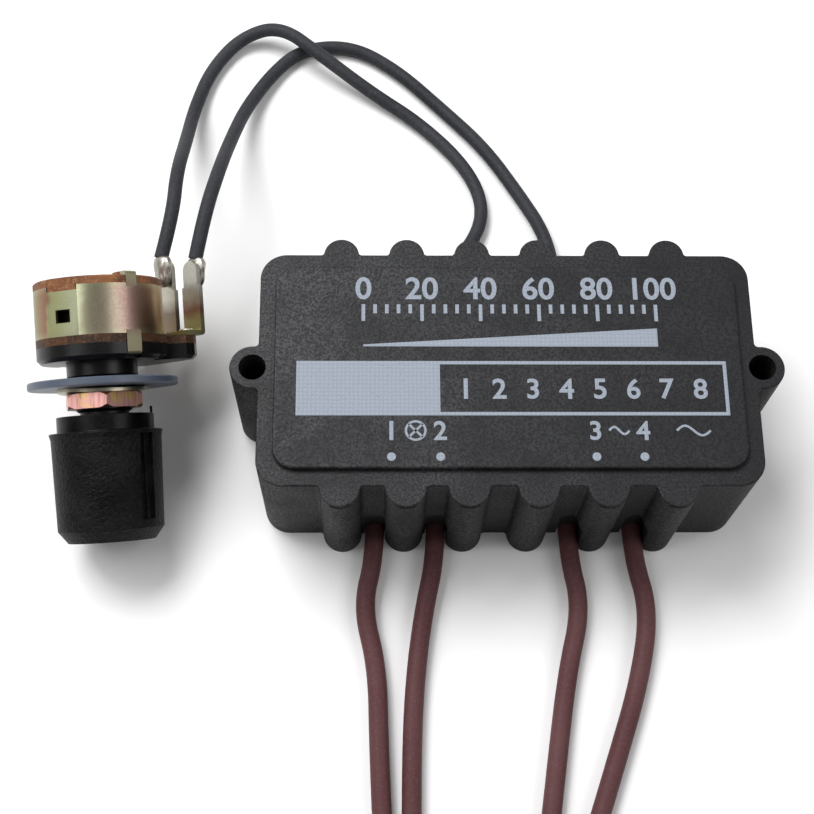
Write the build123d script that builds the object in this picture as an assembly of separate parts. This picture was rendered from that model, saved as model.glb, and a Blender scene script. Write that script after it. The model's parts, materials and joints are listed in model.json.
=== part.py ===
from build123d import *
from math import atan2, cos, degrees, radians, sin, sqrt, tan
import os

# Potted dimmer module with a separate 16 mm potentiometer on two control leads.
# Millimetres, +Z up. The origin is the middle of the module's underside, X runs along
# the module, and the four power leads leave towards -Y.

# Module housing
body_length = 60.0
body_width = 30.0
body_height = 19.2
body_corner_radius = 3.2
cavity_corner_radius = 1.4
wall = 1.8
roof = 1.8
rim_round = 0.2
pad_margin = 1.95
pad_height = 0.8
pad_corner_radius = 2.6
pad_edge_round = 0.25
front_rib_places = (-20.1, -12.35, -4.9, 3.25, 11.4, 19.55)
front_rib_radius = 2.45
front_rib_proud = 0.1
nose_groove_depth = 0.22
nose_groove_height = 0.4
nose_groove_below_top = 0.25
nose_groove_half_span = 35.0
back_rib_count = 6
back_rib_pitch = 8.05
back_rib_radius = 2.15
rib_root_radius = 0.4
lug_root_radius = 0.5
lug_offset = 0.7
lug_radius = 2.75
lug_hole_radius = 1.65

# Leads
power_lead_diameter = 2.4
control_lead_diameter = 1.85
power_lead_exits = (-16.0, -8.3, 8.45, 16.6)
control_lead_exits = (-7.3, 8.4)
lead_exit_height = 1.6
lead_fit = 0.12
notch_height = 7.6
plug_recess = 0.4
plug_lead_gap = 0.03
tinned_end_length = 8.0
tinned_end_diameter = 1.5
core_diameter = 0.9

# Potting and the circuit inside it
potting_recess = 0.35
board_gap = 1.2
board_thickness = 1.6
board_height = 5.0
pin_radius = 0.4
pin_length_below_board = 1.2
stand_off = 0.3
core_run = 2.2
core_above_board = 0.4
triac_from_end = 10.0
triac_y = 1.0
triac_width = 10.0
triac_length = 9.2
triac_thickness = 3.2
triac_tab_thickness = 1.3
triac_tab_overhang = 6.0
triac_tab_hole_radius = 1.8
triac_tab_hole_place = 3.2
triac_leg_pitch = 2.54
triac_leg_width = 0.8
triac_leg_thickness = 0.5
triac_leg_length = 2.8
triac_leg_rise = 1.9
resistor_radius = 1.2
resistor_length = 6.4
resistor_pin_spacing = 10.2
timing_resistor_from_end = 17.5
timing_resistor_y = -4.6
suppression_resistor_place = (-1.5, -7.0)
diac_radius = 1.0
diac_length = 4.2
diac_pin_spacing = 7.6
diac_place = (-1.5, -2.0)
suppression_capacitor_length = 13.0
suppression_capacitor_width = 6.0
suppression_capacitor_headroom = 1.0
suppression_capacitor_pin_spacing = 10.0
suppression_capacitor_from_end = 11.5
suppression_capacitor_y = 4.0
timing_capacitor_size = (7.2, 3.5, 7.0)
timing_capacitor_pin_spacing = 5.0
timing_capacitor_place = (-1.5, 6.5)
capacitor_corner_radius = 0.6

# Potentiometer, measured along its shaft from the rear face of the cover
pot_rear_centre = (-50.50, 12.57, 16.21)
pot_dip = 19.1
pot_yaw = 3.92
terminal_drop = 43.9
case_radius = 7.85
case_wall = 0.5
case_depth = 6.06
cover_thickness = 1.0
facet_angle = 159.6
facet_half_angle = 16.0
facet_notch_depth = 0.6
facet_key_depth = 0.6
facet_key_gap = 0.15
cover_edge_bevel = 0.2
cover_nib_radius = 5.5
cover_nib_size = 1.4
cover_nib_height = 0.55
window_width = 2.05
window_length = 1.6
window_from_case_front = 1.6
track_board_thickness = 1.04
front_plate_thickness = 1.9
front_plate_bevel = 0.5
board_overhang = 3.05
terminal_overhang = 0.3
board_side_margin = 0.05
board_corner_cut = 1.6
board_hole_gap = 0.4
boss_step = 0.85
boss_length = 2.2
boss_chamfer = 0.55
neck_wall = 0.45
neck_length = 3.9
neck_chamfer = 0.3
shaft_radius = 3.0
shaft_play = 0.05
shaft_rear_gap = 0.5
shaft_chamfer = 0.3
rear_claw_angles = (94.4, -20.0, -120.0)
rear_claw_width = 1.5
rear_claw_reach = 1.3
front_claw_angles = (94.6, 46.0, -46.0, -94.6)
front_claw_width = 2.0
front_claw_reach = 1.3
claw_gap = 0.08
claw_root = 0.4
claw_bend_radius = 0.4
claw_rebate = 0.9

# Fastening of the potentiometer
insulating_washer_radius = 9.2
insulating_washer_thickness = 0.95
insulating_washer_bevel = 0.15
lock_washer_width = 2.1
lock_washer_thickness = 0.4
lock_washer_bow = 0.3
lock_washer_turn = 20.0
nut_wall = 1.0
nut_thickness = 1.85
nut_corner_chamfer = 0.4
nut_corner_angle = 121.9

# Track, rotor and wiper
collector_margin = 0.35
collector_width = 0.8
track_spacing = 0.45
track_width = 1.6
track_thickness = 0.12
track_half_gap = 25.0
rotor_wall = 2.7
rotor_thickness = 2.0
rotor_from_track = 1.45
stop_nose_gap = 0.25
stop_nose_half_angle = 22.0
stop_tab_gap = 0.11
stop_tab_thickness = 0.45
stop_tab_width = 1.45
wiper_margin = 0.6
wiper_thickness = 0.2
track_arm_width = 0.9
track_arm_run = 2.6
collector_arm_width = 0.6
collector_arm_run = 2.0
arm_root_run = 0.8
contact_run = 0.7
contact_gap = 0.04
rest_turn_from_middle = -92.0

# Knob
knob_gap = 0.45
collar_radius = 5.94
collar_length = 2.0
collar_tab_angle = 38.0
collar_tab_width = 1.3
collar_tab_thickness = 0.3
collar_tab_height = 0.85
skirt_lip_radius = 6.98
skirt_lip_length = 0.8
skirt_top_radius = 6.76
skirt_end_radius = 6.49
skirt_length = 12.0
knob_chamfer_length = 1.5
knob_end_radius = 5.33
knob_edge_round = 0.12
knob_bore_end_wall = 2.4
index_angle = 80.0
index_width = 0.35
index_height = 0.25
index_groove_width = 2.2
index_groove_depth = 0.35
index_rear_margin = 0.5
index_front_margin = 1.0

# Terminals of the potentiometer
terminal_pitch = 5.0
terminal_width = 3.4
terminal_thickness = 0.6
terminal_shoulder = 6.3
tongue_width = 2.7
tongue_length_wiper = 4.0
tongue_length_track = 3.3
tongue_length_spare = 2.0
terminal_foot_gap = 0.5
terminal_bend_radius = 0.5
rivet_from_case = 1.7
rivet_radius = 0.5
rivet_head_radius = 0.9
rivet_head_height = 0.3
rivet_head_round = 0.15
solder_length = 3.6
solder_radius = 1.15
solder_clearance = 0.05
solder_film = 0.1
bare_core_diameter = 0.8
lead_end_gap = 0.3

# Routes of the leads, chosen by hand. The control leads rise from the floor to the terminals, and the
# first one passes over the second.
control_route_wiper = (
    (-43.4, 24.2, 12.3),
    (-41.0, 31.0, 11.4),
    (-42.4, 39.5, 5.4),
    (-41.6, 47.0, 1.4),
    (-39.4, 53.6, 1.0),
    (-35.4, 59.0, 1.2),
    (-29.6, 59.6, 3.4),
    (-23.6, 54.4, 3.6),
    (-16.6, 49.6, 1.6),
    (-9.8, 45.0, 1.0),
    (-3.8, 38.6, 1.0),
    (-1.0, 32.5, 1.0),
    (-1.9, 26.9, 1.1),
    (-7.3, 19.9, 1.6),
)
control_route_track = (
    (-38.9, 22.9, 14.8),
    (-35.9, 30.4, 13.4),
    (-36.2, 39.0, 6.6),
    (-34.3, 46.5, 2.0),
    (-31.6, 53.0, 1.0),
    (-26.6, 57.2, 1.0),
    (-19.4, 57.8, 1.0),
    (-12.9, 53.7, 1.0),
    (-6.9, 47.6, 1.0),
    (-0.8, 41.2, 1.0),
    (3.6, 34.2, 1.0),
    (7.4, 27.4, 1.1),
    (8.4, 20.5, 1.6),
)
power_routes = {
    "load_lead_1": (
        (-16.0, -18.5, 1.6),
        (-17.8, -25.0, 1.25),
        (-16.0, -32.5, 1.25),
        (-15.4, -42.0, 1.25),
        (-15.2, -54.0, 1.25),
        (-13.4, -68.0, 1.25),
        (-13.6, -84.0, 1.25),
        (-15.8, -98.0, 1.25),
        (-15.2, -110.0, 1.25),
    ),
    "load_lead_2": (
        (-8.3, -18.5, 1.6),
        (-10.2, -26.0, 1.25),
        (-11.4, -35.5, 1.25),
        (-11.8, -46.0, 1.25),
        (-11.0, -58.0, 1.25),
        (-8.6, -71.0, 1.25),
        (-8.2, -86.0, 1.25),
        (-9.4, -99.0, 1.25),
        (-9.0, -110.0, 1.25),
    ),
    "supply_lead_1": (
        (8.45, -18.5, 1.6),
        (10.4, -25.0, 1.25),
        (7.7, -33.5, 1.25),
        (5.4, -45.0, 1.25),
        (4.4, -57.0, 1.25),
        (5.4, -70.0, 1.25),
        (5.0, -84.0, 1.25),
        (3.6, -98.0, 1.25),
        (4.2, -110.0, 1.25),
    ),
    "supply_lead_2": (
        (16.6, -18.5, 1.6),
        (18.9, -25.5, 1.25),
        (16.4, -34.5, 1.25),
        (12.7, -45.0, 1.25),
        (10.8, -57.0, 1.25),
        (12.0, -70.0, 1.25),
        (13.8, -84.0, 1.25),
        (13.0, -98.0, 1.25),
        (13.6, -110.0, 1.25),
    ),
}

# Places worked out from the driving dimensions
half_length = body_length / 2
half_width = body_width / 2
cavity_top = body_height - roof
inner_wall_y = half_width - wall
lug_spacing = body_length + 2 * lug_offset
board_length = body_length - 2 * (wall + board_gap)
board_width = body_width - 2 * (wall + board_gap)
board_top = board_height + board_thickness
part_base = board_top + stand_off
suppression_capacitor_height = cavity_top - part_base - suppression_capacitor_headroom
triac_place = (-board_length / 2 + triac_from_end, triac_y)
timing_resistor_place = (board_length / 2 - timing_resistor_from_end, timing_resistor_y)
suppression_capacitor_place = (board_length / 2 - suppression_capacitor_from_end, suppression_capacitor_y)
suppression_capacitor_size = (
    suppression_capacitor_length, suppression_capacitor_width, suppression_capacitor_height)
case_front = cover_thickness + case_depth
plate_rear = case_front + track_board_thickness
plate_front = plate_rear + front_plate_thickness
claw_seat = plate_front - claw_rebate
boss_front = plate_front + boss_length
neck_front = boss_front + neck_length
washer_front = boss_front + insulating_washer_thickness
lock_washer_front = washer_front + lock_washer_thickness + lock_washer_bow
nut_front = lock_washer_front + nut_thickness
knob_rear = neck_front + knob_gap
skirt_rear = knob_rear + collar_length
skirt_front = skirt_rear + skirt_length
knob_front = skirt_front + knob_chamfer_length
case_inner_radius = case_radius - case_wall
facet_distance = case_radius * cos(radians(facet_half_angle))
facet_half_width = case_radius * sin(radians(facet_half_angle))
board_reach = case_radius + board_overhang
terminal_outer = board_reach + terminal_overhang
board_half_width = terminal_pitch + terminal_width / 2 + board_side_margin
neck_radius = shaft_radius + shaft_play + neck_wall
boss_radius = neck_radius + boss_step
lock_washer_radius = neck_radius + lock_washer_width
nut_corner_radius = 2 * (neck_radius + nut_wall) / sqrt(3)
collector_inner_radius = shaft_radius + board_hole_gap + collector_margin
collector_outer_radius = collector_inner_radius + collector_width
track_inner_radius = collector_outer_radius + track_spacing
track_outer_radius = track_inner_radius + track_width
rotor_radius = shaft_radius + rotor_wall
stop_tab_inner = rotor_radius + stop_tab_gap
stop_nose_radius = facet_distance - case_wall - stop_nose_gap
rivet_place = case_radius + rivet_from_case
track_rear = case_front - track_thickness
rotor_front = track_rear - rotor_from_track
rotor_rear = rotor_front - rotor_thickness
terminal_inner = terminal_outer - terminal_thickness
terminal_foot_rear = case_front - terminal_thickness

os.makedirs("parts", exist_ok=True)


def potentiometer_plane():
    dip = radians(pot_dip)
    yaw = radians(pot_yaw)
    drop = radians(terminal_drop)
    along = Vector(sin(yaw) * cos(dip), -cos(yaw) * cos(dip), -sin(dip))
    level = Vector(cos(yaw), sin(yaw), 0)
    upward = along.cross(level)
    terminals = level * cos(drop) - upward * sin(drop)
    return Plane(origin=pot_rear_centre, x_dir=terminals, z_dir=along)


pot_plane = potentiometer_plane()


def in_place(shape):
    """Move a shape from the potentiometer's own axes to its place beside the module."""
    return pot_plane.location * shape


def at_angle(shape, angle):
    return Rot(0, 0, angle) * shape


def disc(radius, rear, front, bore=0.0):
    ring = Cylinder(radius, front - rear, align=(Align.CENTER, Align.CENTER, Align.MIN))
    if bore > 0:
        ring -= Cylinder(bore, front - rear, align=(Align.CENTER, Align.CENTER, Align.MIN))
    return Pos(0, 0, rear) * ring


def block(x_from, x_to, y_from, y_to, z_from, z_to):
    size = (x_to - x_from, y_to - y_from, z_to - z_from)
    return Pos(x_from, y_from, z_from) * Box(*size, align=(Align.MIN, Align.MIN, Align.MIN))


# Module housing


def back_rib_places():
    first = -(back_rib_count - 1) / 2 * back_rib_pitch
    return [first + back_rib_pitch * number for number in range(back_rib_count)]


def housing_outline():
    outline = RectangleRounded(body_length, body_width, body_corner_radius)
    for place in front_rib_places:
        outline += Pos(place, -half_width - front_rib_proud) * Circle(front_rib_radius)
    for place in back_rib_places():
        outline += Pos(place, half_width) * Circle(back_rib_radius)
    roots = [
        corner
        for corner in outline.vertices()
        if abs(abs(corner.Y) - half_width) < 0.01 and abs(corner.X) < half_length - body_corner_radius - 0.01
    ]
    outline = fillet(roots, rib_root_radius)
    for side in (-1, 1):
        outline += Pos(side * lug_spacing / 2, 0) * Circle(lug_radius)
    lug_roots = [
        corner
        for corner in outline.vertices()
        if abs(abs(corner.X) - half_length) < 0.01 and abs(corner.Y) < lug_radius
    ]
    return fillet(lug_roots, lug_root_radius)


def nose_groove(place):
    """A crescent groove just below the top edge of a front rib, deepest at the rib's nose."""
    half_span = radians(nose_groove_half_span)
    half_chord = front_rib_radius * sin(half_span)
    rise = front_rib_radius * (1 - cos(half_span)) - nose_groove_depth
    inner_radius = (half_chord ** 2 + rise ** 2) / (2 * rise)
    nose_y = -half_width - front_rib_proud - front_rib_radius
    top = body_height - nose_groove_below_top
    bottom = top - nose_groove_height
    slab = block(place - front_rib_radius, place + front_rib_radius, nose_y - 1, nose_y + front_rib_radius / 2,
                 bottom, top)
    kept = Cylinder(inner_radius, nose_groove_height, align=(Align.CENTER, Align.CENTER, Align.MIN))
    return slab - Pos(place, nose_y + nose_groove_depth + inner_radius, bottom) * kept


def lead_slots():
    """Place, width, lead diameter and side of each slot in the long walls."""
    slots = [(place, power_lead_diameter, True) for place in power_lead_exits]
    slots += [(place, control_lead_diameter, False) for place in control_lead_exits]
    return slots


def slot_space(place, width, front, inner, outer, bottom):
    """The round-topped space of a slot between two distances from the middle."""
    side = -1 if front else 1
    half = width / 2
    middle = side * (inner + outer) / 2
    straight = Box(width, outer - inner, notch_height - half - bottom,
                   align=(Align.CENTER, Align.CENTER, Align.MIN))
    crown = Rot(90, 0, 0) * Cylinder(half, outer - inner)
    return Pos(place, middle, bottom) * straight + Pos(place, middle, notch_height - half) * crown


def slot_plug(place, diameter, front):
    """The potting that has run into a slot round its lead; the lead lies in it, open below."""
    outer = half_width - plug_recess
    plug = slot_space(place, diameter + 2 * lead_fit, front, inner_wall_y - wall / 4, outer, potting_recess)
    side = -1 if front else 1
    hole_radius = diameter / 2 + plug_lead_gap
    middle = side * (inner_wall_y + half_width) / 2
    bore = Pos(place, middle, lead_exit_height) * Rot(90, 0, 0) * Cylinder(hole_radius, wall)
    below = Pos(place, middle, lead_exit_height) * Box(
        2 * hole_radius, wall, lead_exit_height, align=(Align.CENTER, Align.CENTER, Align.MAX))
    return plug - bore - below


def cavity_block(z_from, z_to):
    inner = RectangleRounded(body_length - 2 * wall, body_width - 2 * wall, cavity_corner_radius)
    return Pos(0, 0, z_from) * extrude(inner, z_to - z_from)


def module_housing():
    shell = extrude(housing_outline(), body_height)
    top_edges = shell.faces().sort_by(Axis.Z)[-1].edges()
    shell = fillet(top_edges, rim_round)
    pad_outline = RectangleRounded(
        body_length - 2 * pad_margin, body_width - 2 * pad_margin, pad_corner_radius
    )
    pad = Pos(0, 0, body_height) * extrude(pad_outline, pad_height)
    pad = fillet(pad.faces().sort_by(Axis.Z)[-1].edges(), pad_edge_round)
    shell += pad
    shell -= cavity_block(0, cavity_top)
    for side in (-1, 1):
        hole = Cylinder(lug_hole_radius, body_height, align=(Align.CENTER, Align.CENTER, Align.MIN))
        shell -= Pos(side * lug_spacing / 2, 0, 0) * hole
    for place in front_rib_places:
        shell -= nose_groove(place)
    for place, diameter, front in lead_slots():
        outer = half_width + 2 * front_rib_radius
        shell -= slot_space(place, diameter + 2 * lead_fit, front, inner_wall_y, outer, 0)
    return shell


# Circuit inside the potting


def pin(x, y, top):
    length = top - (board_height - pin_length_below_board)
    rod = Cylinder(pin_radius, length, align=(Align.CENTER, Align.CENTER, Align.MAX))
    return Pos(x, y, top) * rod


def triac():
    """A three-legged power switch lying on the board, with its metal tab."""
    x, y = triac_place
    half = triac_width / 2
    body_rear = y - triac_length / 2
    body_front = y + triac_length / 2
    tab_top = part_base + triac_tab_thickness
    plastic = block(x - half, x + half, body_rear, body_front, tab_top, tab_top + triac_thickness)
    tab = block(x - half, x + half, body_rear, body_front + triac_tab_overhang, part_base,
                tab_top)
    hole = Cylinder(triac_tab_hole_radius, 4 * triac_tab_thickness)
    tab -= Pos(x, body_front + triac_tab_hole_place, part_base) * hole
    shape = plastic + tab
    leg_bottom = part_base + triac_leg_rise
    leg_top = leg_bottom + triac_leg_thickness
    for step in (-triac_leg_pitch, 0, triac_leg_pitch):
        leg_x = x + step
        shape += block(leg_x - triac_leg_width / 2, leg_x + triac_leg_width / 2,
                       body_rear - triac_leg_length, body_rear, leg_bottom, leg_top)
        shape += pin(leg_x, body_rear - triac_leg_length + pin_radius, leg_top)
    return shape


def axial_part(centre, body_radius, length, pin_spacing):
    """A component with a round body along X and a bent wire at each end."""
    x, y = centre
    axis_z = part_base + body_radius
    shape = Pos(x, y, axis_z) * Rot(0, 90, 0) * Cylinder(body_radius, length)
    wire = Pos(x, y, axis_z) * Rot(0, 90, 0) * Cylinder(pin_radius, pin_spacing)
    shape += wire
    for side in (-1, 1):
        shape += pin(x + side * pin_spacing / 2, y, axis_z)
    return shape


def box_capacitor(centre, size, pin_spacing):
    x, y = centre
    case = Box(*size, align=(Align.CENTER, Align.CENTER, Align.MIN))
    case = fillet(case.edges().filter_by(Axis.Z), capacitor_corner_radius)
    shape = Pos(x, y, part_base) * case
    for side in (-1, 1):
        shape += pin(x + side * pin_spacing / 2, y, part_base)
    return shape


def lead_core(place, front):
    """The copper tail of a lead, from the inner wall up into the board."""
    side = -1 if front else 1
    radius = core_diameter / 2
    end_y = side * (inner_wall_y - core_run)
    middle_y = side * (inner_wall_y - core_run / 2)
    level = Pos(place, middle_y, lead_exit_height) * Rot(90, 0, 0) * Cylinder(radius, core_run)
    rise = board_top + core_above_board - lead_exit_height
    riser = Cylinder(radius, rise, align=(Align.CENTER, Align.CENTER, Align.MIN))
    riser = Pos(place, end_y, lead_exit_height) * riser
    elbow = Pos(place, end_y, lead_exit_height) * Sphere(radius)
    return level + riser + elbow


def lead_cores():
    cores = [lead_core(place, True) for place in power_lead_exits]
    cores += [lead_core(place, False) for place in control_lead_exits]
    return cores


def circuit_parts():
    return {
        "triac": triac(),
        "suppression_capacitor": box_capacitor(
            suppression_capacitor_place, suppression_capacitor_size, suppression_capacitor_pin_spacing),
        "timing_capacitor": box_capacitor(
            timing_capacitor_place, timing_capacitor_size, timing_capacitor_pin_spacing),
        "diac": axial_part(diac_place, diac_radius, diac_length, diac_pin_spacing),
        "timing_resistor": axial_part(
            timing_resistor_place, resistor_radius, resistor_length, resistor_pin_spacing),
        "suppression_resistor": axial_part(
            suppression_resistor_place, resistor_radius, resistor_length, resistor_pin_spacing),
    }


def circuit_board(parts, cores):
    board = Box(board_length, board_width, board_thickness, align=(Align.CENTER, Align.CENTER, Align.MIN))
    board = Pos(0, 0, board_height) * board
    for part in parts.values():
        board -= part
    for core in cores:
        board -= core
    return board


def potting_compound(parts, cores, board):
    fill = cavity_block(potting_recess, cavity_top)
    for slot in lead_slots():
        fill += slot_plug(*slot)
    fill -= board
    for part in parts.values():
        fill -= part
    for core in cores:
        fill -= core
    return fill


# Potentiometer, built on its own axes: Z along the shaft, X towards the terminals


def facet_cutter(rear, front, depth=0.0):
    """The space outside the flat of the case, or outside a surface that lies deeper by the depth given."""
    distance = facet_distance - depth
    span = 2 * case_radius
    cutter = block(distance, distance + span, -span, span, rear, front)
    return at_angle(cutter, facet_angle)


def claw_slot(angle, width, rear, front):
    """The space that a claw takes at the edge of a disc."""
    half = width / 2 + claw_gap
    slot = block(case_inner_radius - claw_gap, case_radius + 1, -half, half, rear, front)
    return at_angle(slot, angle)


def pot_cover():
    cover = disc(case_radius, 0, cover_thickness)
    cover = chamfer(cover.faces().sort_by(Axis.Z)[0].edges(), cover_edge_bevel)
    cover -= facet_cutter(-1, cover_thickness + 1)
    key_half = facet_half_width - facet_key_gap
    key = block(case_inner_radius - facet_key_depth, facet_distance, -key_half, key_half, cover_thickness,
                cover_thickness + facet_notch_depth)
    cover += at_angle(key, facet_angle)
    for angle in rear_claw_angles:
        cover -= claw_slot(angle, rear_claw_width, -1, cover_thickness + 1)
    half = cover_nib_size / 2
    nib = block(cover_nib_radius - half, cover_nib_radius + half, -half, half,
                -cover_nib_height, cover_edge_bevel)
    cover += at_angle(nib, rear_claw_angles[0])
    return cover


def pot_case():
    """The steel band, with a notch, a window and a stop tab in its flat, and claws at both ends."""
    band = disc(case_radius, cover_thickness, case_front)
    band -= facet_cutter(0, case_front + 1)
    core = disc(case_inner_radius, cover_thickness, case_front)
    core -= facet_cutter(0, case_front + 1, case_wall)
    band -= core
    inside = facet_distance - 2 * case_wall
    outside = facet_distance + case_wall
    notch = block(inside, outside, -facet_half_width, facet_half_width,
                  0, cover_thickness + facet_notch_depth)
    band -= at_angle(notch, facet_angle)
    window_front = case_front - window_from_case_front
    window_rear = window_front - window_length
    half = window_width / 2
    band -= at_angle(block(inside, outside, -half, half, window_rear, window_front), facet_angle)
    half = stop_tab_width / 2
    tab = block(stop_tab_inner, facet_distance - case_wall / 2, -half, half, window_rear - stop_tab_thickness,
                window_rear)
    band += at_angle(tab, facet_angle)
    rear_claw = claw(rear_claw_width, rear_claw_reach, -case_wall, cover_thickness + claw_root, True)
    for angle in rear_claw_angles:
        band += at_angle(rear_claw, angle)
    front_claw = claw(front_claw_width, front_claw_reach, case_front - claw_root,
                      claw_seat + case_wall, False)
    for angle in front_claw_angles:
        band += at_angle(front_claw, angle)
    return band


def claw(width, reach, rear, front, hook_at_rear):
    """A strip of the case wall that runs past the stack and folds inwards over it."""
    half = width / 2
    strip = block(case_inner_radius, case_radius, -half, half, rear, front)
    if hook_at_rear:
        hook = block(case_radius - reach, case_radius, -half, half, rear, rear + case_wall)
        corner = (strip + hook).edges().filter_by(Axis.Y).group_by(Axis.Z)[0].sort_by(Axis.X)[-1]
    else:
        hook = block(case_radius - reach, case_radius, -half, half, front - case_wall, front)
        corner = (strip + hook).edges().filter_by(Axis.Y).group_by(Axis.Z)[-1].sort_by(Axis.X)[-1]
    return fillet(corner, claw_bend_radius)


def board_outline():
    """A round board with a straight-sided tongue for the terminals."""
    tongue = Polygon(
        (0, -board_half_width),
        (board_reach - board_corner_cut, -board_half_width),
        (board_reach, -board_half_width + board_corner_cut),
        (board_reach, board_half_width - board_corner_cut),
        (board_reach - board_corner_cut, board_half_width),
        (0, board_half_width),
        align=None,
    )
    return Circle(case_radius) + tongue


def board_slots(rear, front):
    slots = []
    for angle in front_claw_angles:
        slots.append(claw_slot(angle, front_claw_width, rear, front))
        half = front_claw_width / 2 + claw_gap
        beyond = block(case_inner_radius - claw_gap, board_reach, -half, half, rear, front)
        if abs(angle) < 90:
            slots.append(at_angle(beyond, angle))
    return slots


def terminal_rows():
    return (-terminal_pitch, 0, terminal_pitch)


def track_board():
    board = Pos(0, 0, case_front) * extrude(board_outline(), track_board_thickness)
    board -= facet_cutter(case_front - 1, plate_rear + 1)
    board -= disc(shaft_radius + board_hole_gap, case_front, plate_rear)
    for slot in board_slots(case_front - 1, plate_rear + 1):
        board -= slot
    for row in terminal_rows():
        board -= Pos(rivet_place, row, case_front) * Cylinder(rivet_radius, 4 * track_board_thickness)
    return board


def front_plate():
    plate = Pos(0, 0, plate_rear) * extrude(board_outline(), front_plate_thickness)
    plate = chamfer(plate.faces().sort_by(Axis.Z)[-1].edges(), front_plate_bevel)
    boss = disc(boss_radius, plate_front, boss_front)
    boss = chamfer(boss.faces().sort_by(Axis.Z)[-1].edges(), boss_chamfer)
    neck = disc(neck_radius, boss_front, neck_front)
    neck = chamfer(neck.faces().sort_by(Axis.Z)[-1].edges(), neck_chamfer)
    plate += boss
    plate += neck
    for slot in board_slots(plate_rear - 1, plate_front + 1):
        plate -= slot
    half = front_claw_width / 2 + claw_gap
    rebate = block(case_radius - front_claw_reach - claw_gap, case_radius + 1, -half, half, claw_seat,
                   plate_front + 1)
    for angle in front_claw_angles:
        plate -= at_angle(rebate, angle)
    plate -= disc(shaft_radius + shaft_play, plate_rear - 1, neck_front + 1)
    return plate


def track_sector(inner, outer, half_gap, rear, front):
    ring = disc(outer, rear, front, inner)
    if half_gap == 0:
        return ring
    far = 3 * outer
    wedge = Polygon(
        (0, 0),
        (far, -far * tan(radians(half_gap))),
        (far, far * tan(radians(half_gap))),
        align=None,
    )
    return ring - Pos(0, 0, rear) * extrude(wedge, front - rear)


def insulating_washer():
    washer = disc(insulating_washer_radius, boss_front, washer_front, neck_radius)
    rims = washer.edges().filter_by(GeomType.CIRCLE).sort_by(SortBy.RADIUS)[-2:]
    return chamfer(rims, insulating_washer_bevel)


def lock_washer():
    """A spring washer bowed about one line, so that it touches the nut in the middle."""
    reach = lock_washer_radius + 1
    sag = lock_washer_bow * (reach / lock_washer_radius) ** 2
    low = washer_front - (sag - lock_washer_bow)
    high = washer_front + lock_washer_bow
    thickness = lock_washer_thickness
    profile = Plane.XZ * make_face([
        ThreePointArc((-reach, low), (0, high), (reach, low)),
        Line((reach, low), (reach, low + thickness)),
        ThreePointArc((reach, low + thickness), (0, high + thickness), (-reach, low + thickness)),
        Line((-reach, low + thickness), (-reach, low)),
    ])
    strip = extrude(profile, reach, both=True)
    ring = disc(lock_washer_radius, washer_front, lock_washer_front, neck_radius)
    return at_angle(strip & ring, lock_washer_turn)


def hex_nut():
    hexagon = RegularPolygon(nut_corner_radius, 6, rotation=nut_corner_angle)
    nut = Pos(0, 0, lock_washer_front) * extrude(hexagon, nut_thickness)
    rounding = disc(nut_corner_radius, lock_washer_front, nut_front)
    nut = nut & chamfer(rounding.edges().filter_by(GeomType.CIRCLE), nut_corner_chamfer)
    return nut - disc(neck_radius, lock_washer_front, nut_front)


def shaft():
    rear = cover_thickness + shaft_rear_gap
    front = knob_front - knob_bore_end_wall
    rod = disc(shaft_radius, rear, front)
    return chamfer(rod.edges().filter_by(GeomType.CIRCLE), shaft_chamfer)


def rotor():
    body = disc(rotor_radius, rotor_rear, rotor_front, shaft_radius)
    nose = disc(stop_nose_radius, rotor_rear, rotor_front, (shaft_radius + rotor_radius) / 2)
    nose_middle = facet_angle + 180 + rest_turn_from_middle
    far = 3 * stop_nose_radius
    side = far * tan(radians(stop_nose_half_angle))
    wedge = Polygon((0, 0), (far, -side), (far, side), align=None)
    wedge = Pos(0, 0, rotor_rear) * extrude(wedge, rotor_thickness)
    return body + (nose & at_angle(wedge, nose_middle))


def wiper_arm(middle_radius, width, run):
    """A sprung arm at one radius, from the ring down to its contact on the board."""
    root = rotor_front + wiper_thickness
    tip = track_rear - contact_gap
    side = make_face(Polyline(
        (-arm_root_run, rotor_front),
        (0, rotor_front),
        (run, tip - wiper_thickness),
        (run + contact_run, tip - wiper_thickness),
        (run + contact_run, tip),
        (run, tip),
        (0, root),
        (-arm_root_run, root),
        close=True,
    ))
    return extrude(Plane.YZ.offset(middle_radius - width / 2) * side, width)


def wiper():
    """A spring ring on the rotor with one arm on the track and one on the collector."""
    track_middle = (track_inner_radius + track_outer_radius) / 2
    collector_middle = (collector_inner_radius + collector_outer_radius) / 2
    shape = disc(rotor_radius - wiper_margin, rotor_front, rotor_front + wiper_thickness, shaft_radius)
    shape += wiper_arm(track_middle, track_arm_width, track_arm_run)
    shape += wiper_arm(collector_middle, collector_arm_width, collector_arm_run)
    shape += block(collector_middle, track_middle + track_arm_width / 2, -arm_root_run, 0, rotor_front,
                   rotor_front + wiper_thickness)
    arm_lead = degrees(atan2(track_arm_run + contact_run / 2, track_middle))
    return at_angle(shape, 180 + rest_turn_from_middle - arm_lead)


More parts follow.
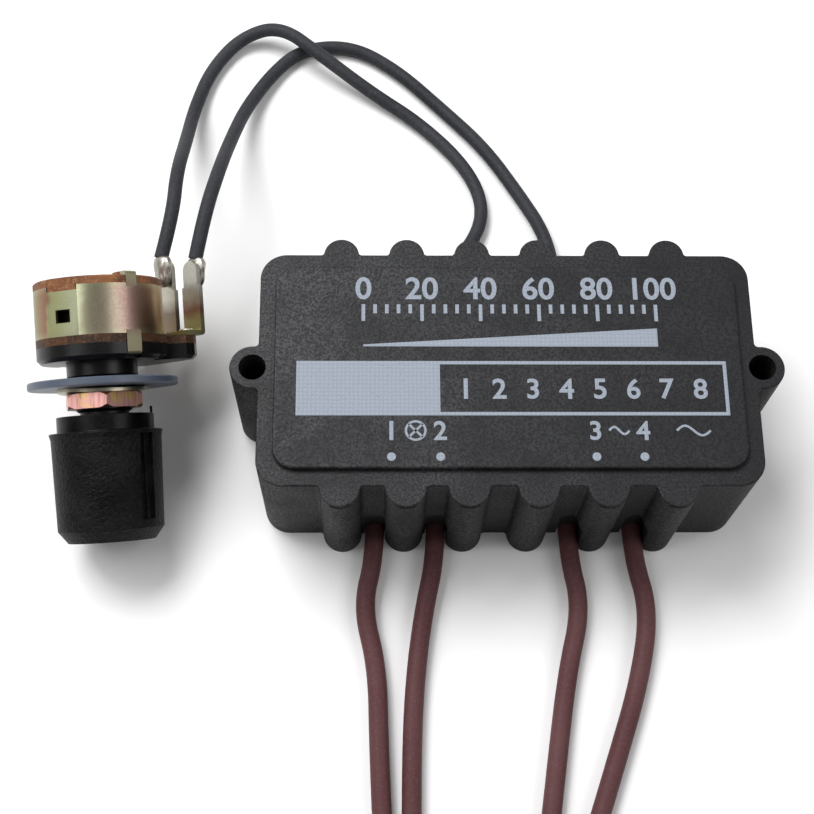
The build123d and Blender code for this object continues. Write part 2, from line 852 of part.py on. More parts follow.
def terminal(row, tongue):
    """A flat tag riveted to the board and bent towards the rear."""
    half = terminal_width / 2
    shoulder = case_front - terminal_shoulder
    foot = block(case_radius + terminal_foot_gap, terminal_outer, row - half, row + half,
                 terminal_foot_rear, case_front)
    strip = block(terminal_inner, terminal_outer, row - half, row + half, shoulder, case_front)
    bent = foot + strip
    outer = bent.edges().filter_by(Axis.Y).group_by(Axis.Z)[-1].sort_by(Axis.X)[-1]
    bent = fillet(outer, terminal_bend_radius)
    tip = shoulder - tongue
    tongue_half = tongue_width / 2
    left = row - tongue_half
    right = row + tongue_half
    round_start = tip + tongue_half
    flat = Plane.YZ * make_face([
        Line((left, shoulder), (right, shoulder)),
        Line((right, shoulder), (right, round_start)),
        ThreePointArc((right, round_start), (row, tip), (left, round_start)),
        Line((left, round_start), (left, shoulder)),
    ])
    bent += Pos(terminal_inner, 0, 0) * extrude(flat, terminal_thickness)
    return bent - Pos(rivet_place, row, terminal_foot_rear) * Cylinder(rivet_radius, 4 * terminal_thickness)


def terminal_rivet(row):
    shank = disc(rivet_radius, terminal_foot_rear, plate_rear)
    head = disc(rivet_head_radius, terminal_foot_rear - rivet_head_height, terminal_foot_rear)
    head = fillet(head.faces().sort_by(Axis.Z)[0].edges(), rivet_head_round)
    return Pos(rivet_place, row, 0) * (shank + head)


def lead_end(tongue):
    """Where a control lead's insulation ends, along the shaft."""
    return case_front - terminal_shoulder - tongue - lead_end_gap


def bare_core(row, tongue, depth):
    rod = Cylinder(bare_core_diameter / 2, solder_length, align=(Align.CENTER, Align.CENTER, Align.MIN))
    return Pos(depth, row, lead_end(tongue)) * rod


def solder_joint(row, tongue, depth, tag, core):
    """A drop of solder on one face of the tongue, round the bare core."""
    rear = lead_end(tongue)
    above = depth > terminal_inner
    face = terminal_outer if above else terminal_inner
    oval = Ellipse(solder_radius, solder_length / 2)
    half_oval = oval & (Pos(solder_radius, 0) * Rectangle(2 * solder_radius, 2 * solder_length))
    drop = revolve(Plane.XZ * half_oval, Axis.Z)
    drop = Pos((face + depth) / 2, row, rear + solder_length / 2) * drop
    side_start = face if above else face - 2 * solder_radius
    kept = block(side_start, side_start + 2 * solder_radius, row - solder_radius, row + solder_radius,
                 rear + solder_clearance, rear + solder_length)
    return (drop & kept) - tag - core


def knob():
    profile = Plane.XZ * make_face(Polyline(
        (0, knob_rear),
        (collar_radius, knob_rear),
        (collar_radius, skirt_rear),
        (skirt_lip_radius, skirt_rear),
        (skirt_top_radius, skirt_rear + skirt_lip_length),
        (skirt_end_radius, skirt_front),
        (knob_end_radius, knob_front),
        (0, knob_front),
        close=True,
    ))
    body = revolve(profile, Axis.Z)
    rims = body.edges().filter_by(GeomType.CIRCLE).sort_by(SortBy.RADIUS)
    body = fillet([rim for rim in rims if rim.radius > knob_end_radius + 0.1], knob_edge_round)
    groove_floor = skirt_end_radius - index_groove_depth
    groove_rear = skirt_rear + index_rear_margin
    groove_front = skirt_front - index_front_margin
    half_groove = index_groove_width / 2
    groove = block(groove_floor, 2 * skirt_lip_radius, -half_groove, half_groove, groove_rear, groove_front)
    rib = block(groove_floor - index_height, groove_floor + index_height, -index_width / 2, index_width / 2,
                groove_rear, groove_front)
    body -= at_angle(groove, index_angle)
    body += at_angle(rib, index_angle)
    collar_tab = block(collar_radius - collar_tab_thickness - knob_edge_round, collar_radius - knob_edge_round,
                       -collar_tab_width / 2, collar_tab_width / 2, knob_rear - collar_tab_height,
                       knob_rear + collar_length / 2)
    body += at_angle(collar_tab, collar_tab_angle)
    body -= disc(shaft_radius, knob_rear - 1, knob_front - knob_bore_end_wall)
    return body


# Leads


def corner_radii(points):
    """Each arc is as large as its two runs allow."""
    radii = []
    for before, here, after in zip(points, points[1:], points[2:]):
        first = Vector(here) - Vector(before)
        second = Vector(after) - Vector(here)
        half_turn = radians(first.get_angle(second)) / 2
        radii.append(0.45 * min(first.length, second.length) / tan(half_turn))
    return radii


def lead_tube(name, points, diameter):
    radii = corner_radii(points)
    path = FilletPolyline(*points, radius=radii)
    section = Plane(origin=path @ 0, z_dir=path % 0) * Circle(diameter / 2)
    tube = sweep(section, path=path)
    expected = section.area * path.length
    print(f"{name}: length {path.length:.1f}, volume {tube.volume:.2f} of {expected:.2f}, radii",
          " ".join(f"{radius:.1f}" for radius in radii))
    return tube


def tinned_end(name, points):
    """The bared and tinned end of a power lead, in line with its last run."""
    last = Vector(points[-1])
    direction = (last - Vector(points[-2])).normalized()
    rod = Cylinder(tinned_end_diameter / 2, tinned_end_length, align=(Align.CENTER, Align.CENTER, Align.MIN))
    rod = fillet(rod.faces().sort_by(Axis.Z)[-1].edges(), tinned_end_diameter / 4)
    return Plane(origin=last, z_dir=direction).location * rod


def power_points(place, route):
    return [(place, -inner_wall_y, lead_exit_height)] + list(route)


def control_points(start, route, place):
    return [tuple(start)] + list(route) + [(place, inner_wall_y, lead_exit_height)]


def build():
    nodes = {}
    nodes["module_housing"] = module_housing()
    parts = circuit_parts()
    cores = lead_cores()
    board = circuit_board(parts, cores)
    nodes["potting_compound"] = potting_compound(parts, cores, board)
    nodes["circuit_board"] = board
    nodes.update(parts)
    nodes["lead_cores"] = Compound(children=cores)

    nodes["pot_rear_cover"] = in_place(pot_cover())
    nodes["pot_case"] = in_place(pot_case())
    nodes["track_board"] = in_place(track_board())
    nodes["resistive_track"] = in_place(
        track_sector(track_inner_radius, track_outer_radius, track_half_gap, track_rear, case_front))
    nodes["collector_ring"] = in_place(
        track_sector(collector_inner_radius, collector_outer_radius, 0, track_rear, case_front))
    nodes["front_plate"] = in_place(front_plate())
    nodes["insulating_washer"] = in_place(insulating_washer())
    nodes["lock_washer"] = in_place(lock_washer())
    nodes["hex_nut"] = in_place(hex_nut())
    nodes["shaft"] = in_place(shaft())
    nodes["rotor"] = in_place(rotor())
    nodes["wiper"] = in_place(wiper())
    nodes["knob"] = in_place(knob())

    wiper_tag = terminal(0, tongue_length_wiper)
    track_tag = terminal(terminal_pitch, tongue_length_track)
    spare_tag = terminal(-terminal_pitch, tongue_length_spare)
    nodes["terminal_wiper"] = in_place(wiper_tag)
    nodes["terminal_track"] = in_place(track_tag)
    nodes["terminal_spare"] = in_place(spare_tag)
    nodes["terminal_rivets"] = in_place(Compound(children=[terminal_rivet(row) for row in terminal_rows()]))

    core_offset = solder_film + bare_core_diameter / 2
    wiper_depth = terminal_inner - core_offset
    track_depth = terminal_outer + core_offset
    wiper_core = bare_core(0, tongue_length_wiper, wiper_depth)
    track_core = bare_core(terminal_pitch, tongue_length_track, track_depth)
    nodes["control_lead_cores"] = in_place(Compound(children=[wiper_core, track_core]))
    nodes["solder_joint_wiper"] = in_place(
        solder_joint(0, tongue_length_wiper, wiper_depth, wiper_tag, wiper_core))
    nodes["solder_joint_track"] = in_place(
        solder_joint(terminal_pitch, tongue_length_track, track_depth, track_tag, track_core))

    wiper_end = Vector(wiper_depth, 0, lead_end(tongue_length_wiper))
    track_end = Vector(track_depth, terminal_pitch, lead_end(tongue_length_track))
    wiper_start = pot_plane.from_local_coords(wiper_end)
    track_start = pot_plane.from_local_coords(track_end)
    control_routes = {
        "control_lead_wiper": control_points(wiper_start, control_route_wiper, control_lead_exits[0]),
        "control_lead_track": control_points(track_start, control_route_track, control_lead_exits[1]),
    }
    for name, points in control_routes.items():
        nodes[name] = lead_tube(name, points, control_lead_diameter)
    for (name, route), place in zip(power_routes.items(), power_lead_exits):
        points = power_points(place, route)
        nodes[name] = lead_tube(name, points, power_lead_diameter)
        nodes[name + "_tip"] = tinned_end(name, points)
    return nodes


for node_name, shape in build().items():
    export_step(shape, f"parts/{node_name}.step")
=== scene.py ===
import json
import math

import bmesh
import bpy
from mathutils import Matrix, Vector, noise


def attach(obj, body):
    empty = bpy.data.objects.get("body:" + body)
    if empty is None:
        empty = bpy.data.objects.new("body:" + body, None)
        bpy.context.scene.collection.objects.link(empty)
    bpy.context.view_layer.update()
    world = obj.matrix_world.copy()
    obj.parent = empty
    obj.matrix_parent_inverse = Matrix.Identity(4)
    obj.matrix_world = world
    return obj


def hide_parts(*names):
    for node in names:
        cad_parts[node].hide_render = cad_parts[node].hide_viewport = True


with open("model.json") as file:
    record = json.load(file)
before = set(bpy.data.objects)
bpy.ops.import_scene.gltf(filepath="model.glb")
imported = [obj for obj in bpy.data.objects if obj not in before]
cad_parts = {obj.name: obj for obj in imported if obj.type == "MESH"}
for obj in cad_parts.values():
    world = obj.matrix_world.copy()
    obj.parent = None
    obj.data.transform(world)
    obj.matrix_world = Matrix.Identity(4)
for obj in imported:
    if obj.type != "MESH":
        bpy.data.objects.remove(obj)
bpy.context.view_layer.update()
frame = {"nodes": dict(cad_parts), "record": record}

# Sizes below are millimetres and angles are degrees; MM turns sizes into the scene's metres.
MM = 0.001

# Height of the top of the module's label pad, as in the CAD
PAD_TOP = 20.0

# Leads and the bared ends of their conductors
POWER_LEAD_DIAMETER = 2.4
CONTROL_LEAD_DIAMETER = 1.85
TINNED_LENGTH = 8.0
TINNED_DIAMETER = 1.5
BARE_CORE_DIAMETER = 0.8
STRANDS_IN_A_RING = 6
# Length in which a power lead's strands go once round; a control lead's take half of it.
STRAND_LAY = 14.0

# Solder at the terminals: a thin film lies between each conductor and its tongue.
SOLDER_LENGTH = 3.6
SOLDER_RADIUS = 1.15
SOLDER_FILM = 0.1
CORE_OFFSET = SOLDER_FILM + BARE_CORE_DIAMETER / 2

# Potentiometer: the middle of its rear face, the dip and yaw of its shaft, and the drop of its terminals
# round the shaft
POT_REAR_CENTRE = (-50.50, 12.57, 16.21)
POT_DIP = 19.1
POT_YAW = 3.92
TERMINAL_DROP = 43.9

# Terminals, on the potentiometer's own axes: outer and inner faces of the tongues, their pitch and ends
TERMINAL_OUTER = 11.2
TERMINAL_INNER = 10.6
TERMINAL_PITCH = 5.0
TONGUE_END_WIPER = -3.24
TONGUE_END_TRACK = -2.54
LEAD_END_GAP = 0.3

# Where the insulation of each control lead ends, on the same axes: depth, row and station along the shaft
CONTROL_LEAD_ENDS = {
    "control_lead_wiper": (TERMINAL_INNER - CORE_OFFSET, 0, TONGUE_END_WIPER - LEAD_END_GAP),
    "control_lead_track": (TERMINAL_OUTER + CORE_OFFSET, TERMINAL_PITCH, TONGUE_END_TRACK - LEAD_END_GAP),
}

# Routes of the leads: the CAD's points, some of them moved sideways by up to about two millimetres to
# follow the photograph
CONTROL_ROUTES = {
    "control_lead_wiper": (
        (-7.3, 13.2, 1.6),
        (-7.3, 19.9, 1.6),
        (-1.9, 26.9, 1.1),
        (-1.0, 32.5, 1.0),
        (-3.8, 38.6, 1.0),
        (-9.8, 45.0, 1.0),
        (-16.6, 49.6, 1.6),
        (-23.6, 54.4, 3.6),
        (-29.6, 59.6, 3.4),
        (-35.4, 59.0, 1.2),
        (-39.5, 53.6, 1.0),
        (-41.5, 47.0, 1.4),
        (-41.9, 39.5, 5.4),
        (-42.1, 31.0, 11.4),
        (-42.2, 24.2, 12.3),
    ),
    "control_lead_track": (
        (8.4, 13.2, 1.6),
        (8.4, 20.5, 1.6),
        (7.4, 27.4, 1.1),
        (3.6, 34.2, 1.0),
        (-0.8, 41.2, 1.0),
        (-6.9, 47.6, 1.0),
        (-12.9, 53.7, 1.0),
        (-19.4, 57.8, 1.0),
        (-26.6, 57.2, 1.0),
        (-30.8, 53.0, 1.0),
        (-34.3, 46.5, 2.0),
        (-35.6, 39.0, 6.6),
        (-36.3, 30.4, 13.4),
        (-37.8, 22.9, 14.8),
    ),
}
POWER_ROUTES = {
    "load_lead_1": (
        (-16.0, -13.2, 1.6),
        (-16.0, -18.5, 1.6),
        (-17.6, -25.0, 1.25),
        (-15.7, -32.5, 1.25),
        (-15.5, -42.0, 1.25),
        (-15.0, -54.0, 1.25),
        (-13.4, -68.0, 1.25),
        (-13.6, -84.0, 1.25),
        (-15.8, -98.0, 1.25),
        (-15.2, -110.0, 1.25),
    ),
    "load_lead_2": (
        (-8.3, -13.2, 1.6),
        (-8.3, -18.5, 1.6),
        (-10.0, -26.0, 1.25),
        (-11.2, -35.5, 1.25),
        (-11.6, -46.0, 1.25),
        (-11.6, -58.0, 1.25),
        (-8.6, -71.0, 1.25),
        (-8.2, -86.0, 1.25),
        (-9.4, -99.0, 1.25),
        (-9.0, -110.0, 1.25),
    ),
    "supply_lead_1": (
        (8.45, -13.2, 1.6),
        (8.45, -18.5, 1.6),
        (9.9, -25.0, 1.25),
        (7.7, -33.5, 1.25),
        (5.9, -45.0, 1.25),
        (4.1, -57.0, 1.25),
        (5.4, -70.0, 1.25),
        (5.0, -84.0, 1.25),
        (3.6, -98.0, 1.25),
        (4.2, -110.0, 1.25),
    ),
    "supply_lead_2": (
        (16.6, -13.2, 1.6),
        (16.6, -18.5, 1.6),
        (18.4, -25.5, 1.25),
        (16.6, -34.5, 1.25),
        (12.9, -45.0, 1.25),
        (8.6, -57.0, 1.25),
        (11.0, -70.0, 1.25),
        (13.8, -84.0, 1.25),
        (13.0, -98.0, 1.25),
        (13.6, -110.0, 1.25),
    ),
}


# Camera

# It stands above and in front of the module, a little to its left, and looks down at about 69 degrees.
CAMERA_PLACE = (-15.884, -69.939, 187.626)
CAMERA_RIGHT = (0.99979, -0.00703, 0.01925)
CAMERA_DOWN = (0.00035, -0.93329, -0.35913)
CAMERA_FORWARD = (0.02048, 0.35906, -0.93309)
FOCAL_LENGTH = 67.24
SENSOR_WIDTH = 36.0
NEAREST_SEEN = 1
FARTHEST_SEEN = 5000


def make_camera():
    data = bpy.data.cameras.new("camera")
    data.lens = FOCAL_LENGTH
    data.sensor_width = SENSOR_WIDTH
    data.clip_start = NEAREST_SEEN * MM
    data.clip_end = FARTHEST_SEEN * MM
    camera = bpy.data.objects.new("camera", data)
    bpy.context.collection.objects.link(camera)
    columns = [Vector(CAMERA_RIGHT), -Vector(CAMERA_DOWN), -Vector(CAMERA_FORWARD)]
    turn = Matrix(columns).transposed().to_4x4()
    camera.matrix_world = Matrix.Translation(Vector(CAMERA_PLACE) * MM) @ turn
    bpy.context.scene.camera = camera


# Material tools

NOISE = "ShaderNodeTexNoise"
WAVE = "ShaderNodeTexWave"
RANGE = "ShaderNodeMapRange"
RAMP = "ShaderNodeValToRGB"
MIX = "ShaderNodeMix"
MATH = "ShaderNodeMath"
VECTOR = "ShaderNodeVectorMath"
BUMP = "ShaderNodeBump"

# The colour sockets of a mix node, which has others of the same names for numbers and vectors
FACTOR, LOW, HIGH, MIXED = 0, 6, 7, 2


def linear(hex_colour):
    """An sRGB hex colour as the linear colour that the shader takes."""
    values = [int(hex_colour[i:i + 2], 16) / 255 for i in (1, 3, 5)]
    curved = [v / 12.92 if v <= 0.04045 else ((v + 0.055) / 1.055) ** 2.4 for v in values]
    return (*curved, 1.0)


def per_metre(size):
    """The texture scale that gives a pattern of this size in millimetres."""
    return 1 / (size * MM)


class Finish:
    """One material in the making: its shader, its nodes and the object's own coordinates."""

    def __init__(self, name, **constants):
        self.material = bpy.data.materials.new(name)
        self.material.use_nodes = True
        self.tree = self.material.node_tree
        self.shader = self.tree.nodes["Principled BSDF"]
        for socket, value in constants.items():
            self.shader.inputs[socket.replace("_", " ")].default_value = value
        self.place = self.add("ShaderNodeTexCoord", "Object")

    def add(self, kind, output, inputs=None, **settings):
        """One node with its settings; its inputs are linked, or set to numbers and hex colours."""
        node = self.tree.nodes.new(kind)
        for name, value in settings.items():
            setattr(node, name, value)
        for socket, value in (inputs or {}).items():
            if isinstance(value, bpy.types.NodeSocket):
                self.tree.links.new(value, node.inputs[socket])
            else:
                node.inputs[socket].default_value = linear(value) if isinstance(value, str) else value
        return node.outputs[output]

    def cover(self, **sockets):
        """Links the finished patterns to the shader, and gives the material."""
        for socket, value in sockets.items():
            self.tree.links.new(value, self.shader.inputs[socket.replace("_", " ")])
        return self.material


# Finishes of the module and its leads

# About the distance of the lugs' ends from the module's middle
MODULE_END = 32.0


def moulded_nylon():
    """Glass-filled nylon moulded against a spark-eroded steel: charcoal and matte, with a fine speckle of
    fibre ends, cloudy scuffs drawn stronger towards the left end as painted light, and a film of pale dust
    on upward faces which also paints the bluish light on the top."""
    f = Finish("moulded_nylon", IOR=1.53, Specular_IOR_Level=0.24)
    grain = f.add(NOISE, "Fac", {
        "Vector": f.place, "Scale": per_metre(0.3), "Detail": 3.0, "Roughness": 0.7})
    patches = f.add(NOISE, "Fac", {
        "Vector": f.place, "Scale": per_metre(7.0), "Detail": 4.0, "Roughness": 0.6})
    speckle = f.add(RANGE, "Result", {"Value": grain, "From Min": 0.42, "From Max": 0.6})
    clouds = f.add(RANGE, "Result", {"Value": patches, "From Min": 0.36, "From Max": 0.6})
    across = f.add("ShaderNodeSeparateXYZ", "X", {"Vector": f.place})
    # Painted light: the cloudy scuffs grow stronger towards the left end, which paints that end lighter,
    # as if lit from the left.
    painted_light_to_left = f.add(RANGE, "Result", {
        "Value": across, "From Min": MODULE_END * MM, "From Max": -MODULE_END * MM, "To Min": 0.15})
    clouds = f.add(MATH, "Value", {0: clouds, 1: painted_light_to_left}, operation="MULTIPLY")
    plain = f.add(MIX, MIXED, {FACTOR: speckle, LOW: "#040404", HIGH: "#1c1c1b"}, data_type="RGBA")
    cloudy = f.add(MIX, MIXED, {FACTOR: speckle, LOW: "#0e0e0f", HIGH: "#3f3f40"}, data_type="RGBA")
    resin = f.add(MIX, MIXED, {FACTOR: clouds, LOW: plain, HIGH: cloudy}, data_type="RGBA")
    normal = f.add("ShaderNodeNewGeometry", "Normal")
    upward = f.add("ShaderNodeSeparateXYZ", "Z", {"Vector": normal})
    # Pale blue-grey dust on upward faces. It is partly painted light: it stands in for the bluish light
    # that falls on the top.
    dust = f.add(RANGE, "Result", {"Value": upward, "From Min": 0.5, "To Max": 0.1})
    colour = f.add(MIX, MIXED, {FACTOR: dust, LOW: resin, HIGH: "#3c3e4a"}, data_type="RGBA")
    matte = f.add(RANGE, "Result", {"Value": upward, "From Min": 0.5, "To Min": 0.18, "To Max": 0.0})
    pitted = f.add(RANGE, "Result", {
        "Value": grain, "From Min": 0.38, "From Max": 0.64, "To Min": 0.56, "To Max": 0.4})
    roughness = f.add(MATH, "Value", {0: matte, 1: pitted}, operation="ADD")
    bumps = f.add(BUMP, "Normal", {"Height": grain, "Distance": 0.06 * MM, "Strength": 0.7})
    return f.cover(Base_Color=colour, Roughness=roughness, Normal=bumps)


# The mesh of the printing screen is about 0.3 mm and too fine to show, so it is drawn coarser.
SCREEN_PITCH = 0.5
# A wave texture repeats after pi / 10 of its own units.
WAVE_UNIT = math.pi / 10


def screen_ink():
    """Screen-printed ink, pale blue-grey and flat, with the weave of the screen just visible in it."""
    f = Finish("screen_ink", Roughness=0.7, IOR=1.5)
    threads = [
        f.add(WAVE, "Fac", {
            "Vector": f.place, "Scale": WAVE_UNIT * per_metre(SCREEN_PITCH), "Distortion": 0.8,
        }, bands_direction=direction)
        for direction in ("X", "Y")
    ]
    weave = f.add(MATH, "Value", {0: threads[0], 1: threads[1]}, operation="MULTIPLY")
    thin = f.add(NOISE, "Fac", {"Vector": f.place, "Scale": per_metre(0.25), "Detail": 2.0})
    worn = f.add(RANGE, "Result", {"Value": thin, "From Min": 0.55, "From Max": 0.8, "To Max": 0.6})
    colour = f.add(MIX, MIXED, {FACTOR: weave, LOW: "#8b939f", HIGH: "#98a1ae"}, data_type="RGBA")
    colour = f.add(MIX, MIXED, {FACTOR: worn, LOW: colour, HIGH: "#6f757f"}, data_type="RGBA")
    bumps = f.add(BUMP, "Normal", {"Height": thin, "Distance": 0.01 * MM, "Strength": 0.4})
    return f.cover(Base_Color=colour, Normal=bumps)


def poured_resin():
    """Filled polyurethane, poured and set: near black with a soft sheen and slow waves."""
    f = Finish("poured_resin", IOR=1.5, Roughness=0.42)
    filler = f.add(NOISE, "Fac", {"Vector": f.place, "Scale": per_metre(0.6), "Detail": 2.0})
    waves = f.add(NOISE, "Fac", {"Vector": f.place, "Scale": per_metre(9.0), "Detail": 2.0})
    colour = f.add(MIX, MIXED, {FACTOR: filler, LOW: "#0c0c0c", HIGH: "#191919"}, data_type="RGBA")
    bumps = f.add(BUMP, "Normal", {"Height": waves, "Distance": 0.5 * MM, "Strength": 0.5})
    return f.cover(Base_Color=colour, Normal=bumps)


def vinyl_insulation(name, dark, light, dusty):
    """Extruded PVC insulation: an even colour, a soft sheen and a little dust."""
    f = Finish(name, IOR=1.54, Roughness=0.6, Specular_IOR_Level=0.16)
    broad = f.add(NOISE, "Fac", {"Vector": f.place, "Scale": per_metre(11.0), "Detail": 2.0})
    fine = f.add(NOISE, "Fac", {
        "Vector": f.place, "Scale": per_metre(0.4), "Detail": 3.0, "Roughness": 0.65})
    shade = f.add(RANGE, "Result", {"Value": broad, "From Min": 0.3, "From Max": 0.7})
    dust = f.add(RANGE, "Result", {"Value": fine, "From Min": 0.5, "From Max": 0.85, "To Max": 0.5})
    colour = f.add(MIX, MIXED, {FACTOR: shade, LOW: dark, HIGH: light}, data_type="RGBA")
    colour = f.add(MIX, MIXED, {FACTOR: dust, LOW: colour, HIGH: dusty}, data_type="RGBA")
    bumps = f.add(BUMP, "Normal", {"Height": fine, "Distance": 0.02 * MM, "Strength": 0.4})
    return f.cover(Base_Color=colour, Normal=bumps)


# Finishes of the potentiometer and its knob


def phenolic_laminate(name, dark, light, fibre):
    """Paper laminate bonded with phenolic resin: reddish brown, with plies and pale sawn fibres."""
    f = Finish(name, IOR=1.55, Roughness=0.6, Specular_IOR_Level=0.3)
    fibres = f.add(NOISE, "Fac", {
        "Vector": f.place, "Scale": per_metre(0.35), "Detail": 4.0, "Roughness": 0.7,
        "Distortion": 0.5})
    patches = f.add(NOISE, "Fac", {"Vector": f.place, "Scale": per_metre(2.4), "Detail": 2.0})
    ply = f.add(RANGE, "Result", {"Value": patches, "From Min": 0.35, "From Max": 0.65})
    sawn = f.add(RANGE, "Result", {"Value": fibres, "From Min": 0.5, "From Max": 0.72})
    colour = f.add(MIX, MIXED, {FACTOR: ply, LOW: dark, HIGH: light}, data_type="RGBA")
    colour = f.add(MIX, MIXED, {FACTOR: sawn, LOW: colour, HIGH: fibre}, data_type="RGBA")
    bumps = f.add(BUMP, "Normal", {"Height": fibres, "Distance": 0.05 * MM, "Strength": 0.5})
    return f.cover(Base_Color=colour, Normal=bumps)


# Local angle, seen along the shaft, at which the tints of the chromated parts start
TINT_START = 125.3


def round_the_shaft(f):
    """The angle round the potentiometer's shaft, in half turns, and the distance along it in metres."""
    terminals, rows, along = potentiometer_axes()
    start = math.radians(TINT_START)
    ahead = terminals * math.cos(start) + rows * math.sin(start)
    aside = rows * math.cos(start) - terminals * math.sin(start)
    inside = f.add(VECTOR, "Vector", {
        0: f.place, 1: millimetres(POT_REAR_CENTRE)}, operation="SUBTRACT")
    x, y, station = [
        f.add(VECTOR, "Value", {0: inside, 1: axis}, operation="DOT_PRODUCT")
        for axis in (ahead, aside, along)
    ]
    angle = f.add(MATH, "Value", {0: y, 1: x}, operation="ARCTAN2")
    return f.add(MATH, "Value", {0: angle, 1: math.pi}, operation="DIVIDE"), station


# Tints of the chromate film at places round the case, partly painted reflections and shade, in half turns
# from TINT_START, and their drift
BAND_TINTS_AND_PAINTED_REFLECTIONS = (
    (-1.0, "#a89c6c"),
    (-0.42, "#c0aa82"),
    (-0.28, "#84664b"),
    (-0.15, "#997f77"),
    (-0.05, "#a09482"),
    (0.05, "#948f78"),
    (0.11, "#bfc3a2"),
    (0.26, "#aeb082"),
    (0.31, "#926d5a"),
    (0.42, "#827b50"),
    (1.0, "#a89c6c"),
)
TINT_DRIFT = 0.05
# Middle of the case along the shaft, and the distances from it over which the film pales towards its edges
BAND_MIDDLE = 4.0
BAND_PALES_FROM = 2.2
BAND_PALES_TO = 3.6


def film_tints_and_painted_reflections(ramp):
    """Puts the band's tints, painted reflections and shade among them, on a colour ramp that runs once
    round the case.
    """
    ramp.interpolation = "EASE"
    while len(ramp.elements) < len(BAND_TINTS_AND_PAINTED_REFLECTIONS):
        ramp.elements.new(0.5)
    for stop, (turn, tint) in zip(ramp.elements, BAND_TINTS_AND_PAINTED_REFLECTIONS):
        stop.position = (turn + 1) / 2
        stop.color = linear(tint)


def chromated_band():
    """Zinc-plated steel under a yellow chromate film: a bright rolled metal whose film runs round the case
    from straw through green to rose and violet brown, colours that are partly painted reflections and
    shade, with fine scuffs."""
    f = Finish("chromated_band", Metallic=1.0)
    turn, station = round_the_shaft(f)
    slow = f.add(NOISE, "Fac", {"Vector": f.place, "Scale": per_metre(3.0), "Detail": 2.0})
    drift = f.add(RANGE, "Result", {"Value": slow, "To Min": -TINT_DRIFT, "To Max": TINT_DRIFT})
    turned = f.add(MATH, "Value", {0: turn, 1: drift}, operation="ADD")
    # The colour round the case is partly the film's tints and partly painted reflections and shade.
    ramp = f.add(RAMP, "Color", {"Fac": f.add(RANGE, "Result", {"Value": turned, "From Min": -1.0})})
    film_tints_and_painted_reflections(ramp.node.color_ramp)
    scuffs = f.add(NOISE, "Fac", {
        "Vector": f.place, "Scale": per_metre(0.25), "Detail": 3.0, "Roughness": 0.6})
    dull = f.add(RANGE, "Result", {"Value": scuffs, "From Min": 0.5, "From Max": 0.8, "To Max": 0.35})
    colour = f.add(MIX, MIXED, {FACTOR: dull, LOW: ramp, HIGH: "#7e7458"}, data_type="RGBA")
    beyond = f.add(MATH, "Value", {0: station, 1: BAND_MIDDLE * MM}, operation="SUBTRACT")
    beyond = f.add(MATH, "Value", {0: beyond}, operation="ABSOLUTE")
    edge = f.add(RANGE, "Result", {
        "Value": beyond, "From Min": BAND_PALES_FROM * MM, "From Max": BAND_PALES_TO * MM,
        "To Max": 0.75})
    colour = f.add(MIX, MIXED, {FACTOR: edge, LOW: colour, HIGH: "#a5a484"}, data_type="RGBA")
    roughness = f.add(RANGE, "Result", {
        "Value": scuffs, "From Min": 0.3, "From Max": 0.7, "To Min": 0.3, "To Max": 0.42})
    bumps = f.add(BUMP, "Normal", {"Height": scuffs, "Distance": 0.012 * MM, "Strength": 0.25})
    return f.cover(Base_Color=colour, Roughness=roughness, Normal=bumps)


# Streaks in half a turn of the nut, and the length of a streak
NUT_STREAKS = 40.0
NUT_STREAK_LENGTH = 4.0


def chromated_nut():
    """Pressed nut under a thick chromate film: rose with straw patches and brown streaks along it."""
    f = Finish("chromated_nut", Metallic=1.0)
    turn, station = round_the_shaft(f)
    drawn = f.add("ShaderNodeCombineXYZ", "Vector", {
        "X": f.add(MATH, "Value", {0: turn, 1: NUT_STREAKS}, operation="MULTIPLY"),
        "Y": f.add(MATH, "Value", {0: station, 1: per_metre(NUT_STREAK_LENGTH)}, operation="MULTIPLY"),
    })
    streaks = f.add(NOISE, "Fac", {"Vector": drawn, "Scale": 1.0, "Detail": 3.0, "Roughness": 0.6})
    patches = f.add(NOISE, "Fac", {"Vector": f.place, "Scale": per_metre(2.2), "Detail": 1.0})
    straw = f.add(RANGE, "Result", {"Value": patches, "From Min": 0.54, "From Max": 0.7})
    dark = f.add(RANGE, "Result", {"Value": streaks, "From Min": 0.5, "From Max": 0.75, "To Max": 0.7})
    colour = f.add(MIX, MIXED, {FACTOR: straw, LOW: "#e0aaa2", HIGH: "#e0bb7c"}, data_type="RGBA")
    colour = f.add(MIX, MIXED, {FACTOR: dark, LOW: colour, HIGH: "#8a5848"}, data_type="RGBA")
    roughness = f.add(RANGE, "Result", {
        "Value": streaks, "From Min": 0.3, "From Max": 0.7, "To Min": 0.28, "To Max": 0.4})
    bumps = f.add(BUMP, "Normal", {"Height": streaks, "Distance": 0.03 * MM, "Strength": 0.4})
    return f.cover(Base_Color=colour, Roughness=roughness, Normal=bumps)


# Stations along the shaft between which the two stains of a riveted tag come in, and how far these wander;
# on the wiper's tag these darker tones are partly painted shade
FLUX_STAIN = (2.6, 4.6)
BOARD_STAIN = (4.4, 6.2)
STAIN_WANDER = 1.6


